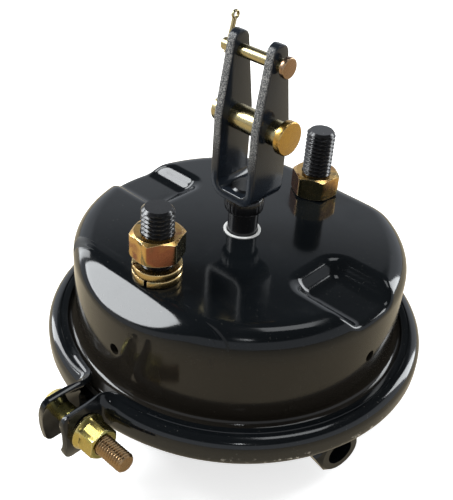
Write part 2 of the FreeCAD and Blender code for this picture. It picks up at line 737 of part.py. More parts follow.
def folded_section(place, inward, fold, lip, thick):
    """Channel section at a place: its web, and above and below it a corner of constant length and a lip. A fold of
    90 degrees is the ring's channel, and smaller folds lay its lips out flat."""
    corner = number("clamp_corner")
    web = number("(%s - %s) / 2" % (CLAMP_FOOT, CLAMP_TOP)) - corner
    turn = math.radians(fold)
    radius = corner * math.pi / 2 / turn

    def spot(across, high):
        return place + inward * across + FreeCAD.Vector(0, 0, high)

    def half(sign):
        """Corner and lip on one side of the web, from the web's outer face round to its inner face."""
        def bend(size, share):
            return spot(radius - size * math.cos(turn * share), sign * (web + size * math.sin(turn * share)))

        run = inward * math.sin(turn) * lip + FreeCAD.Vector(0, 0, sign * math.cos(turn) * lip)
        inside = radius - thick
        outer_end = bend(radius, 1) + run
        inner_end = bend(inside, 1) + run
        return [Part.Arc(bend(radius, 0), bend(radius, 0.5), bend(radius, 1)).toShape(),
                Part.makeLine(bend(radius, 1), outer_end), Part.makeLine(outer_end, inner_end),
                Part.makeLine(inner_end, bend(inside, 1)),
                Part.Arc(bend(inside, 1), bend(inside, 0.5), bend(inside, 0)).toShape()]

    edges = [Part.makeLine(spot(0, -web), spot(0, web))] + half(1)
    edges += [Part.makeLine(spot(thick, web), spot(thick, -web))] + half(-1)
    return Part.Wire(Part.__sortEdges__(edges))


def make_ear(name, sign):
    """End of a half ring: its channel bends out to the bolt, and its lips unfold into the ear's flat plate."""
    clamp_r = number("clamp_r")
    bend = number("ear_bend")
    face = number(EAR_FACE)
    ear_sheet = number("ear_sheet")
    sheet_here = number("clamp_sheet")
    ring_lip = number("clamp_lip - clamp_corner")
    web = number("(%s - %s) / 2 - clamp_corner" % (CLAMP_FOOT, CLAMP_TOP))
    ear_lip = number("ear_half_height") - web - number("clamp_corner") * math.pi / 2
    last_fold = number("ear_fold")
    drop = FreeCAD.Vector(0, 0, -number("clamp_drop"))
    centre_y = face + bend
    centre_x = math.sqrt((clamp_r + bend) ** 2 - centre_y ** 2)
    meet = math.atan2(centre_y, centre_x)
    ring_end = math.radians(number("ring_end"))
    stations = []
    for share in (0.0, 0.25, 0.5, 0.75):
        angle = ring_end + (meet - ring_end) * share
        out = FreeCAD.Vector(math.cos(angle), math.sin(angle), 0)
        stations.append((out * clamp_r, out * -1, share * 0.35))
    for share in (0.0, 0.2, 0.4, 0.6, 0.8, 1.0):
        angle = (math.pi + meet) * (1 - share) + math.pi * 1.5 * share
        out = FreeCAD.Vector(math.cos(angle), math.sin(angle), 0)
        stations.append((FreeCAD.Vector(centre_x, centre_y, 0) + out * bend, out, 0.35 + share * 0.4))
    reach = number("ear_reach")
    for share in (0.25, 0.5, 1.0):
        along = FreeCAD.Vector(centre_x + (reach - centre_x) * share, face, 0)
        stations.append((along, FreeCAD.Vector(0, -1, 0), min(0.75 + share * 0.5, 1.0)))
    sections = []
    for spot, inward, opened in stations:
        eased = opened * opened * (3 - 2 * opened)
        fold = 90 + (last_fold - 90) * eased
        lip = ring_lip + (ear_lip - ring_lip) * eased
        thick = sheet_here + (ear_sheet - sheet_here) * eased
        sections.append(folded_section(spot + drop, inward, fold, lip, thick))
    ear = doc.addObject("Part::Feature", name)
    ear.Shape = Part.makeLoft(sections, True, True)
    if sign < 0:
        ear.Shape = ear.Shape.mirror(FreeCAD.Vector(0, 0, 0), FreeCAD.Vector(1, 0, 0))
    return ear


def make_clamp_ring(name):
    """Half of the clamp ring's rolled channel, which ends short of the ears."""
    body = new_body(name)
    revolve(body, clamp_section(), angle=180.0)
    reach = "(clamp_r + 5)"
    rise = "(%s * tan(ring_end))" % reach

    def ends(sketch):
        """Wedges between the ring's ends and the split line."""
        outline(sketch, [("-" + reach, rise), ("0", "0"), (reach, rise), (reach, "-ear_gap_half"),
                         ("-" + reach, "-ear_gap_half")])

    extrude(body, "XY_Plane", ends, "clamp_drop * 2", cut=True)
    return body


def make_corner_tool(name):
    """What is rounded off the ears' free corners, seen along Y."""
    body = new_body(name)

    def corners(sketch):
        """Area past the rounded end of an ear."""
        high = "-(clamp_drop - ear_half_height)"
        low = "-(clamp_drop + ear_half_height)"
        far = "(ear_reach + 1)"
        outline(sketch, [("ear_reach - ear_round", "%s + 1" % high), (far, "%s + 1" % high),
                         (far, "%s - 1" % low), ("ear_reach - ear_round", "%s - 1" % low),
                         ("ear_reach - ear_round", low), ("ear_reach", low, "ear_round * 0.98"),
                         ("ear_reach", high, "ear_round * 0.98"), ("ear_reach - ear_round", high)])

    pad = extrude(body, "XZ_Plane", corners, "ear_reach", middle=True)
    mirror(body, [pad], "YZ_Plane")
    return body


def make_clamp(name, turn):
    """Clamp half with a square hole for the bolt's neck at its -X end and a round one at its +X end."""
    half = gather(name + "_blank", [make_clamp_ring(name + "_ring"), make_ear(name + "_ear_right", 1),
                                    make_ear(name + "_ear_left", -1)])
    round_hole = cylinder(name + "_round_hole", "bolt_r + running_gap * 5", "ear_reach * 2",
                          ("bolt_x", "-ear_reach", "-clamp_drop"), ALONG_Y)
    square = doc.addObject("Part::Box", name + "_square_hole")
    neck = "(bolt_r * 2 + seat_gap * 4)"
    set_size(square, "Length", neck)
    set_size(square, "Height", neck)
    set_size(square, "Width", "ear_reach * 2")
    set_size(square, "Placement.Base.x", "-bolt_x - %s / 2" % neck)
    set_size(square, "Placement.Base.y", "-ear_reach")
    set_size(square, "Placement.Base.z", "-clamp_drop - %s / 2" % neck)
    tools = gather(name + "_cuts", [round_hole, square, make_corner_tool(name + "_corners")])
    piece = combine("Part::Cut", name, half, tools)
    piece.Placement = FreeCAD.Placement(FreeCAD.Vector(0, 0, 0), turn)
    return keep(piece)


def lay_bolt(item, side):
    """Put a bolt or nut, made along +Z from the ear's outer face, at one end of the clamp."""
    sign = "-" if side == "left" else ""
    item.Placement.Rotation = AGAINST_Y if side == "left" else ALONG_Y
    set_size(item, "Placement.Base.x", sign + "bolt_x")
    set_size(item, "Placement.Base.z", "-clamp_drop")


def make_clamp_bolt(side):
    """Round-head bolt with a square neck, across the clamp's ears."""
    body = new_body("clamp_bolt_" + side)
    seat = "-%s" % EAR_FACE
    revolve(body, [("0", "%s - bolt_head" % seat), ("bolt_head_r * 0.55", "%s - bolt_head" % seat),
                   ("bolt_head_r", "%s - bolt_head * 0.35" % seat), ("bolt_head_r", seat),
                   ("bolt_r - thread_depth", seat), ("bolt_r - thread_depth", "%s + nut_height" % EAR_FACE),
                   ("bolt_r", "%s + nut_height" % EAR_FACE), ("bolt_r", "bolt_end - bolt_point"),
                   ("bolt_r - bolt_point", "bolt_end"), ("0", "bolt_end")])

    def neck(sketch):
        """Square neck under the head."""
        outline(sketch, [("bolt_r", "bolt_r"), ("-bolt_r", "bolt_r"), ("-bolt_r", "-bolt_r"),
                         ("bolt_r", "-bolt_r")])

    extrude(body, "XY_Plane", neck, "bolt_neck", seat)
    lay_bolt(body, side)
    return keep(body)


def make_clamp_nut(side):
    """Flange nut that seats on the ear across from the bolt's head."""
    body = new_body("clamp_nut_" + side)
    bore = "(bolt_r - thread_depth + seat_gap)"
    top = "(%s + nut_height)" % EAR_FACE
    extrude(body, "XY_Plane", lambda sketch: hexagon(sketch, "nut_flats"), "nut_height", EAR_FACE)
    outer = "(nut_flats / sqrt(3) + 0.5)"
    inner = "(nut_flats / 2 * 0.99)"
    revolve(body, [(inner, top), (outer, top),
                   (outer, "%s - (%s - %s) * tan(nut_chamfer_angle)" % (top, outer, inner))], cut=True)
    revolve(body, [("0", EAR_FACE), ("nut_flange_r", EAR_FACE), ("nut_flange_r", EAR_FACE + " + 1.2"),
                   ("nut_flats / 2", EAR_FACE + " + nut_flange"), ("0", EAR_FACE + " + nut_flange")])
    extrude(body, "XY_Plane", lambda sketch: circle(sketch, "0", "0", bore), "nut_height", top, cut=True)
    lay_bolt(body, side)
    return keep(body)


make_housing()
make_bush()
make_pressure_plate()
make_port_boss()
make_diaphragm()
make_push_plate()
make_push_rod()
make_return_spring()
make_yoke()
make_yoke_weld()
for pin_name in ("clevis", "link"):
    make_pin(pin_name)
    make_cotter(pin_name)
LEFT_SEAT = "left_nut_seat"
RIGHT_SEAT = "right_nut_seat"
make_stud("left", "-", LEFT_SEAT)
make_stud("right", "", RIGHT_SEAT)
make_stud_nut("left", "-", LEFT_SEAT, LEFT_NUT_TURN)
make_stud_nut("right", "", RIGHT_SEAT, RIGHT_NUT_TURN)
make_spring_washer("spring_washer_lower", "0")
make_spring_washer("spring_washer_upper", "washer")
make_clamp("clamp_half_rear", FreeCAD.Rotation())
make_clamp("clamp_half_front", HALF_TURN)
for end in ("left", "right"):
    make_clamp_bolt(end)
    make_clamp_nut(end)
doc.recompute()

for item in doc.Objects:
    if "Invalid" in item.State or "Error" in item.State:
        raise RuntimeError("%s did not recompute: %s" % (item.Label, item.State))
for piece in pieces:
    if piece.Shape.isNull() or not piece.Shape.isValid() or not piece.Shape.Solids:
        raise RuntimeError("%s has no valid shape" % piece.Label)

os.makedirs("parts", exist_ok=True)
for piece in pieces:
    piece.Shape.exportStep("parts/%s.step" % piece.Label)
    box = piece.Shape.BoundBox
    print("%-22s %2d solid %9.0f mm3  x %7.1f %7.1f  y %7.1f %7.1f  z %7.1f %7.1f" % (
        piece.Label, len(piece.Shape.Solids), piece.Shape.Volume,
        box.XMin, box.XMax, box.YMin, box.YMax, box.ZMin, box.ZMax))
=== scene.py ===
import math

import bmesh
import bpy
import numpy as np
from mathutils import Matrix, Vector


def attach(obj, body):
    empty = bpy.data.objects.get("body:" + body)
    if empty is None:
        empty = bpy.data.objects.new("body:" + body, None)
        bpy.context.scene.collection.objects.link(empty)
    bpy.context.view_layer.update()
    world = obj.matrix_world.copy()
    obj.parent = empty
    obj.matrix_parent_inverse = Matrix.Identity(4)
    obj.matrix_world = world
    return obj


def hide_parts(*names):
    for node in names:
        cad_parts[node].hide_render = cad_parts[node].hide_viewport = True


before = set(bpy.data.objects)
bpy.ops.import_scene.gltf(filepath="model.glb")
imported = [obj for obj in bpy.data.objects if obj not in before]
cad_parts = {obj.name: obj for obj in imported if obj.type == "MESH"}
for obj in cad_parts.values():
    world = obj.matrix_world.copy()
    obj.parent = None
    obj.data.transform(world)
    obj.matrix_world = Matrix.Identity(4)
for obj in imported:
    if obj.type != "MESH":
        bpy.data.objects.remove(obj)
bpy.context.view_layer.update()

MM = 0.001


# Camera, solved from the photograph
CAMERA_AZIMUTH = -48.938
CAMERA_ELEVATION = 34.451
CAMERA_ROLL = 4.188
CAMERA_DISTANCE = 431.611
CAMERA_TARGET = (-9.409, 1.57, -10.0)
FOCAL_PIXELS = 821.67
IMAGE_WIDTH = 453
SENSOR_WIDTH = 36.0

# Housing
HOUSING_R = 87.7
SHEET = 3.0
SHOULDER_R = 11.4
RIM_BEND = 4.0
RIM_R = 96.4
RIM_TOP = -53.4
RIM_FOOT = -56.4
CENTRE_HOLE_R = 9.05
VENT_R = 3.0
VENT_Z = -31.0
RECESS_DEPTH = 7.5
RECESS_FLOOR_HALF = 13.0
RECESS_TOP_HALF = 18.5
RECESS_FLOOR_IN = 53.5
RECESS_TOP_IN = 47.0
RECESS_FLOOR_ROUND = 4.5
RECESS_TOP_ROUND = 9.0
FACET_CHORD = 72.0
FACET_ANGLE = 36.0
FACET_EASE = 2.2
RECESS_WALL_SLOPE = 0.8
RECESS_FLOOR_EASE = 3.5
RECESS_EDGE_EASE = 3.0
RIM_EASE = 0.8
HOUSING_COLUMNS = 480
WALL_FINE_DEPTH = 12.0
HOLE_SIDES = 40
HOLE_LENGTH = 12.0

# Clamp ring
CLAMP_Z = -59.2
CLAMP_R = 102.8
CLAMP_HALF_HEIGHT = 8.3
CLAMP_SHEET = 2.5
CLAMP_CORNER = 6.2
LIP_IN_R = 92.2
GROOVE_DEPTH = 0.5
EAR_REACH = 126.0
EAR_FACE = 10.7
EAR_HALF_HEIGHT = 13.5
EAR_SHEET = 3.2
EAR_ROUND = 4.5
EAR_BEND = 3.2
EAR_FOLD = 18.0
RING_END = 22.0
UNFOLDED_ON_RING = 0.35
UNFOLDED_AFTER_BEND = 0.75
LIP_EDGE = 0.45

# Studs, nuts and washers
STUD_X = 60.325
STUD_R = 7.9375
STUD_TOP = 38.1
STUD_THREAD_FOOT = -2.0
STUD_PITCH = 2.309
STUD_THREAD = 1.15
STUD_CHAMFER = 1.6
STUD_HEAD_R = 10.5
STUD_HOLE_R = STUD_R - 0.7
STUD_HEAD_FOOT = -7.5
NUT_FLATS = 23.81
NUT_HEIGHT = 12.8
NUT_BORE_R = 7.25
NUT_CONE = 30.0
NUT_CIRCLE = 0.475
LEFT_NUT_SEAT = 12.2
RIGHT_NUT_SEAT = 0.25
LEFT_NUT_TURN = 24.9
RIGHT_NUT_TURN = -5.0
WASHER_R = 12.2
WASHER_BORE_R = 8.3
WASHER_HEIGHT = 4.0
WASHER_GAP_HALF = 4.0
WASHER_COLUMNS = 120
LOWER_WASHER = (0.05, 200)
UPPER_WASHER = (4.1, 150)
THREAD_STEEPNESS = 1.3
THREAD_FLAT = 0.15
THREAD_ROWS = 10

# Yoke and its pins
YOKE_SHEET = 5.0
YOKE_INNER = 9.4
YOKE_BASE = 21.0
YOKE_BEND = 7.0
YOKE_HALF_WIDTH = 11.3
YOKE_SHOULDER = 64.0
YOKE_TOP = 104.5
YOKE_TIP_HALF = 5.4
YOKE_EDGE = 0.8
YOKE_FINE_TOP = 6.0
YOKE_ARM_FOOT = 31.0
WELD_BASE = 13.0
WELD_R = 10.4
ROD_R = 7.9375
CLEVIS_Z = 61.7
LINK_Z = 95.0
# Pins: level, radius, head's radius, head's height, head's face from the middle, other end
CLEVIS_PIN = (CLEVIS_Z, 6.35, 8.5, 3.8, 24.6, 22.0)
LINK_PIN = (LINK_Z, 3.175, 5.1, 2.5, 20.0, 21.0)
COTTER_Y = 18.0
COTTER_TILT = 15.0
# Cotters: level, wire, reach up and reach down
CLEVIS_COTTER = (CLEVIS_Z, 1.6, 12.0, 8.5)
LINK_COTTER = (LINK_Z, 1.2, 16.6, 5.0)

# Clamp bolts
BOLT_X = 114.0
BOLT_R = 5.0
BOLT_PITCH = 1.5
BOLT_THREAD = 0.75
BOLT_COLUMNS = 48
BOLT_HEAD_R = 9.4
BOLT_HEAD = 4.5
BOLT_END = 39.0
FLANGE_NUT_FLATS = 15.0
FLANGE_NUT_HEIGHT = 12.5
FLANGE_R = 9.4
FLANGE_HEIGHT = 2.6

# Lower dish
DISH_TOP_R = 86.6
DISH_FLOOR_R = 80.0
DISH_DROP = 98.0
DISH_ROUND = 20.0
DISH_RIM_FOOT = -65.0
DISH_RIM_TOP = -62.0


# Mesh making

def unit(vector):
    """Vector of length 1 in the same direction."""
    return vector / np.linalg.norm(vector)


def full_circle(columns):
    """Angles evenly round a circle."""
    return np.linspace(0, 2 * math.pi, columns, endpoint=False)


def rounded(corners, closed=False, steps=6):
    """Line through (x, y, radius) corners; where radius isn't 0, the corner is an arc tangent to
    both its sides."""
    line = []
    count = len(corners)
    for index, (x, y, radius) in enumerate(corners):
        point = np.array([x, y], float)
        if radius == 0 or (not closed and index in (0, count - 1)):
            line.append(point)
            continue
        before = unit(np.array(corners[index - 1][:2], float) - point)
        after = unit(np.array(corners[(index + 1) % count][:2], float) - point)
        half = math.acos(np.clip(before @ after, -1, 1)) / 2
        centre = point + unit(before + after) * radius / math.sin(half)
        start = point + before * radius / math.tan(half) - centre
        end = point + after * radius / math.tan(half) - centre
        turn = math.pi - 2 * half
        for t in np.linspace(0, 1, steps + 1):
            reach = math.sin((1 - t) * turn) * start + math.sin(t * turn) * end
            line.append(centre + reach / math.sin(turn))
    return np.array(line)


def grid_faces(rows, columns, wrap_rows):
    """Quads between neighbours of a rows x columns grid of points. The columns close round, and
    the rows where asked."""
    row, column = np.meshgrid(np.arange(rows - (not wrap_rows)), np.arange(columns), indexing="ij")
    next_row = (row + 1) % rows
    next_column = (column + 1) % columns
    quads = [row * columns + column, next_row * columns + column,
             next_row * columns + next_column, row * columns + next_column]
    return np.stack(quads, -1).reshape(-1, 4)


def put_in_scene(name, data):
    """Object with this data, linked into the scene."""
    item = bpy.data.objects.new(name, data)
    bpy.context.scene.collection.objects.link(item)
    return item


def closed_mesh(name, points, faces):
    """Mesh from points in mm. Doubles are merged, which closes poles, and faces turned outwards."""
    mesh = bpy.data.meshes.new(name)
    mesh.from_pydata((points.reshape(-1, 3) * MM).tolist(), [], faces)
    work = bmesh.new()
    work.from_mesh(mesh)
    bmesh.ops.remove_doubles(work, verts=work.verts, dist=2e-6)
    bmesh.ops.dissolve_degenerate(work, edges=work.edges, dist=1e-7)
    bmesh.ops.recalc_face_normals(work, faces=work.faces)
    work.to_mesh(mesh)
    work.free()
    return mesh


def surface_piece(name, grid, body, material, node, wrap_rows=False, capped=False, sharp=30):
    """Piece from a grid of points whose columns close round; its rows close round, meet in poles,
    or get caps. Edges steeper than sharp degrees stay sharp."""
    rows, columns = grid.shape[:2]
    faces = grid_faces(rows, columns, wrap_rows).tolist()
    if capped:
        faces.append(list(range(columns)))
        faces.append(list(range((rows - 1) * columns, rows * columns))[::-1])
    mesh = closed_mesh(name, grid, faces)
    mesh.shade_smooth()
    mesh.set_sharp_from_angle(angle=math.radians(sharp))
    item = put_in_scene(name, mesh)
    mesh.materials.append(material)
    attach(item, body)
    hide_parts(node)
    return item


def on_axis(angle, radius, height, centre=(0, 0), axis="Z"):
    """Points of a grid given as angle, radius and height round an axis: x = r cos t, y = r sin t,
    z = height. For axis Y, the height runs along Y and centre is (x, z)."""
    first = radius * np.cos(angle)
    second = radius * np.sin(angle)
    height = np.broadcast_to(height, first.shape)
    if axis == "Y":
        return np.stack([first + centre[0], height, second + centre[1]], -1)
    return np.stack([first + centre[0], second + centre[1], height], -1)


def turned(profile, columns=96, centre=(0, 0), axis="Z"):
    """Line of (radius, height) points revolved round an axis."""
    return on_axis(full_circle(columns), profile[:, :1], profile[:, 1:], centre, axis)


def thread_rows(radius, depth, pitch, start, end, chamfer, columns=56):
    """Radius of a right-handed thread on a grid of heights and angles: a flattened triangle wave of
    height / pitch - angle / full turn, no larger than the cone of the end's chamfer. Returns angle,
    height, radius."""
    heights = np.linspace(start, end, int((end - start) / pitch * THREAD_ROWS) + 1)[:, None]
    angle = full_circle(columns)[None, :]
    phase = np.mod(heights / pitch - angle / (2 * math.pi), 1.0)
    wave = np.clip(np.abs(2 * phase - 1) * THREAD_STEEPNESS - THREAD_FLAT, 0, 1)
    size = np.minimum(radius - depth * wave, radius - chamfer + (end - heights))
    return angle, np.broadcast_to(heights, size.shape), size


def hexagon_radius(angle, flats, turn, soften=0.5):
    """Distance from the axis to a hexagon's side at each angle, its corners eased by a smooth
    minimum."""
    sides = np.radians(turn + 30 + 60 * np.arange(6))[:, None]
    reach = flats / 2 / np.maximum(np.cos(angle - sides), 0.2)
    low = reach.min(0)
    return low - soften * np.log(np.exp(-(reach - low) / soften).sum(0))


def stack_rows(rows, columns):
    """Grids of radius and height from rows of (radius, height), each a number or one per column."""
    return [np.stack([np.broadcast_to(row[part], (columns,)) for row in rows]) for part in (0, 1)]


def hexagon_nut(flats, height, bore, turn, foot, columns=192):
    """Nut as a closed grid: bore, cone at its mouths, flat, then the chamfer cone cut by the
    hexagon's sides: z = top - (r - chamfer circle) tan(cone)."""
    angle = full_circle(columns)
    side = hexagon_radius(angle, flats, turn)
    circle = flats * NUT_CIRCLE
    top = foot + height
    slope = math.tan(math.radians(NUT_CONE))
    cone = [circle + (side - circle) * share for share in (0.25, 0.5, 0.75, 1.0)]
    rows = [(bore, foot + 1.0), (bore, top - 1.0), (bore + 1, top), (circle, top)]
    rows += [(radius, top - (radius - circle) * slope) for radius in cone]
    rows += [(radius, foot + (radius - circle) * slope) for radius in cone[::-1]]
    rows += [(circle, foot), (bore + 1, foot)]
    return angle, *stack_rows(rows, columns)


# Materials

BLACK = (0.004, 0.005, 0.006)
STUD_BLACK = (0.008, 0.008, 0.009)
YOKE_BLACK = (0.011, 0.014, 0.019)
DUST_GREY = (0.22, 0.21, 0.19)
# Painted reflection colour: the warm brown mirrored low on the housing's sides.
REFLECTED_BROWN = (0.1, 0.07, 0.035)
CHIP_GREY = (0.42, 0.38, 0.31)
CUT_GREY = (0.32, 0.31, 0.29)
GOLD = (0.5, 0.31, 0.1)
BRICK = (0.22, 0.085, 0.05)
OLIVE = (0.13, 0.115, 0.06)
CREAM = (0.86, 0.72, 0.5)
RUST_GRAIN = (0.28, 0.15, 0.08)
PALE_ZINC = (0.3, 0.28, 0.165)
ZINC_ROUGHNESS = 0.24
ZINC_HAZE = 0.2


def new_group(name, inputs, outputs):
    """Empty shader group with named sockets, given as (name, kind, default) and (name, kind)."""
    group = bpy.data.node_groups.new(name, "ShaderNodeTree")
    for socket, kind, default in inputs:
        made = group.interface.new_socket(name=socket, in_out="INPUT",
                                          socket_type="NodeSocket" + kind)
        made.default_value = default
    for socket, kind in outputs:
        group.interface.new_socket(name=socket, in_out="OUTPUT", socket_type="NodeSocket" + kind)
    return group, group.nodes.new("NodeGroupInput"), group.nodes.new("NodeGroupOutput")


def add(tree, kind, **values):
    """Node of a tree, with settings by name and inputs by index or name after in_."""
    node = tree.nodes.new("ShaderNode" + kind)
    for key, value in values.items():
        if key.startswith("in_"):
            name = key[3:]
            socket = int(name) if name.isdigit() else name.replace("_", " ")
            node.inputs[socket].default_value = value
        else:
            setattr(node, key, value)
    return node


def ramp(tree, source, low, high):
    """Smooth step of a value between low and high."""
    node = add(tree, "MapRange", interpolation_type="SMOOTHSTEP", in_1=low, in_2=high)
    tree.links.new(source, node.inputs[0])
    return node.outputs[0]


def math_node(tree, operation, first, second=None):
    """Result of a Math node on numbers or outputs."""
    node = add(tree, "Math", operation=operation)
    for index, value in enumerate((first, second)):
        if isinstance(value, (int, float)):
            node.inputs[index].default_value = value
        elif value is not None:
            tree.links.new(value, node.inputs[index])
    return node.outputs[0]


def product(tree, first, second):
    """Product of two numbers or outputs."""
    return math_node(tree, "MULTIPLY", first, second)


def total(tree, first, second):
    """Sum of two numbers or outputs."""
    return math_node(tree, "ADD", first, second)


def dot(tree, first, second):
    """Dot product of two vector outputs."""
    node = add(tree, "VectorMath", operation="DOT_PRODUCT")
    tree.links.new(first, node.inputs[0])
    tree.links.new(second, node.inputs[1])
    return node.outputs["Value"]


def mix(tree, factor, first, second):
    """Mix of two colours, each a tuple or an output."""
    node = add(tree, "Mix", data_type="RGBA")
    for index, value in ((0, factor), (6, first), (7, second)):
        if isinstance(value, (int, float, tuple)):
            node.inputs[index].default_value = value if index == 0 else (*value, 1)
        else:
            tree.links.new(value, node.inputs[index])
    return node.outputs[2]


def noise(tree, where, **values):
    """Noise over a position."""
    node = add(tree, "TexNoise", **values)
    tree.links.new(where, node.inputs["Vector"])
    return node.outputs["Fac"]


def parts_of(tree, vector):
    """X, Y and Z outputs of a vector output."""
    node = add(tree, "SeparateXYZ")
    tree.links.new(vector, node.inputs[0])
    return node.outputs


def true_normal(tree):
    """Output of the face's own normal."""
    return tree.nodes.new("ShaderNodeNewGeometry").outputs["True Normal"]


def new_material(name):
    """Empty node material, with its tree and Principled BSDF."""
    material = bpy.data.materials.new(name)
    material.use_nodes = True
    return material, material.node_tree, material.node_tree.nodes["Principled BSDF"]


def make_material(name, roughness, metallic=0.0):
    """Material with a Principled BSDF and its object coordinates."""
    material, tree, shader = new_material(name)
    shader.inputs["Roughness"].default_value = roughness
    shader.inputs["Metallic"].default_value = metallic
    return material, tree, shader, tree.nodes.new("ShaderNodeTexCoord").outputs["Object"]


def finish_shader(tree, shader, colour, height, strength, distance=0.0002, roughness=None):
    """Link the colour, the bump of a height and, where given, the roughness."""
    tree.links.new(colour, shader.inputs["Base Color"])
    if roughness is not None:
        tree.links.new(roughness, shader.inputs["Roughness"])
    bump = add(tree, "Bump", in_Strength=strength, in_Distance=distance)
    tree.links.new(height, bump.inputs["Height"])
    tree.links.new(bump.outputs[0], shader.inputs["Normal"])


def dust_group():
    """Fine dust, specks and smears of handled paint: gives two masks and a height."""
    inputs = [("Position", "Vector", (0, 0, 0)), ("Speck Size", "Float", 900.0)]
    outputs = [("Specks", "Float"), ("Smears", "Float"), ("Height", "Float")]
    group, start, end = new_group("paint_dust", inputs, outputs)
    where = start.outputs["Position"]
    specks = add(group, "TexNoise", in_Detail=2.0)
    group.links.new(where, specks.inputs["Vector"])
    group.links.new(start.outputs["Speck Size"], specks.inputs["Scale"])
    smears = noise(group, where, in_Scale=38.0, in_Detail=4.0, in_Distortion=0.8)
    peel = noise(group, where, in_Scale=260.0, in_Detail=2.0)
    group.links.new(ramp(group, specks.outputs["Fac"], 0.69, 0.76), end.inputs["Specks"])
    group.links.new(ramp(group, smears, 0.5, 0.75), end.inputs["Smears"])
    group.links.new(peel, end.inputs["Height"])
    return group


DUST = dust_group()


def place_group(tree, group, where, **values):
    """Group node at a position, with further inputs by name."""
    node = tree.nodes.new("ShaderNodeGroup")
    node.node_tree = group
    tree.links.new(where, node.inputs["Position"])
    for key, value in values.items():
        node.inputs[key.replace("_", " ")].default_value = value
    return node


def chipped(tree, where, axes):
    """Mask of small chips low on the front, above the foot of the clamp ring."""
    low = ramp(tree, axes["Z"], -59.0 * MM, -62.0 * MM)
    foot = ramp(tree, axes["Z"], -68.5 * MM, -67.6 * MM)
    front = ramp(tree, axes["Y"], -50 * MM, -80 * MM)
    flakes = noise(tree, where, in_Scale=340.0, in_Detail=6.0, in_Roughness=0.75)
    flaked = product(tree, product(tree, low, foot), ramp(tree, flakes, 0.57, 0.63))
    return product(tree, flaked, front)


def rubbed_facets(tree, where, axes):
    """Mask of slanted rub marks on both facets."""
    slanted = add(tree, "Mapping", in_Rotation=(0, 0, math.radians(7)), in_Scale=(170, 15, 40))
    tree.links.new(where, slanted.inputs["Vector"])
    strokes = noise(tree, slanted.outputs[0], in_Scale=1.0, in_Detail=3.0, in_Roughness=0.6)
    side = ramp(tree, math_node(tree, "ABSOLUTE", axes["X"]), 62 * MM, 68 * MM)
    side = product(tree, side, ramp(tree, axes["Z"], -22 * MM, -14 * MM))
    return product(tree, side, ramp(tree, strokes, 0.58, 0.66))


def paint_material(name, colour, dusty, warm_reflection_and_rubs=0.0, roughness=0.1, gloss=0.32, chips=False):
    """Gloss paint: dark base, dust specks and smears that dull the gloss. A warm reflection
    strength adds a faint warm brown low on the sides, a painted reflection of the dim brown
    surroundings that the gloss mirrors, and switches on rubbed facets."""
    material, tree, shader, where = make_material(name, roughness)
    shader.inputs["Specular IOR Level"].default_value = gloss
    dust = place_group(tree, DUST, where)
    axes = parts_of(tree, where)
    base = mix(tree, product(tree, dust.outputs["Specks"], dusty), colour, DUST_GREY)
    dull = product(tree, dust.outputs["Smears"], 0.09)
    if warm_reflection_and_rubs:
        # Painted reflection: a warm brown tint low on the sides stands for the dim brown
        # surroundings mirrored in the paint.
        below = ramp(tree, axes["Z"], -6 * MM, -20 * MM)
        base = mix(tree, product(tree, below, warm_reflection_and_rubs), base, REFLECTED_BROWN)
        dull = total(tree, dull, product(tree, rubbed_facets(tree, where, axes), 0.5))
    if chips:
        base = mix(tree, chipped(tree, where, axes), base, CHIP_GREY)
    finish_shader(tree, shader, base, dust.outputs["Height"], 0.04,
                  roughness=total(tree, dull, roughness))
    return material


def zinc_group():
    """Colours of a passivated zinc finish: gold, with brick red and dark olive in random patches,
    and as painted reflection on faces turned towards two chosen sides."""
    inputs = [("Position", "Vector", (0, 0, 0)), ("Redness", "Float", 0.5),
              ("Red Reflection Side", "Vector", (0, 0, 0)), ("Dark Reflection Side", "Vector", (0, 0, 0))]
    group, start, end = new_group("zinc_tones", inputs, [("Color", "Color"), ("Haze", "Float")])
    where = start.outputs["Position"]
    patches = noise(group, where, in_Scale=110.0, in_Detail=3.0, in_Distortion=0.6)
    facing = true_normal(group)
    masks = []
    # Painted reflection: brick red and dark olive on faces turned towards the two chosen sides.
    for side, low, high in (("Red Reflection Side", 0.55, 1.05), ("Dark Reflection Side", 0.5, 0.95)):
        toward = dot(group, facing, start.outputs[side])
        swayed = total(group, toward, product(group, patches, 0.9))
        masks.append(ramp(group, total(group, swayed, -0.45), low, high))
    spread = total(group, patches, start.outputs["Redness"])
    red = math_node(group, "MAXIMUM", masks[0], ramp(group, spread, 0.95, 1.25))
    dark = math_node(group, "MAXIMUM", masks[1], ramp(group, patches, 0.42, 0.3))
    colour = mix(group, red, GOLD, BRICK)
    group.links.new(mix(group, dark, colour, OLIVE), end.inputs["Color"])
    group.links.new(noise(group, where, in_Scale=400.0, in_Detail=3.0), end.inputs["Haze"])
    return group


ZINC = zinc_group()


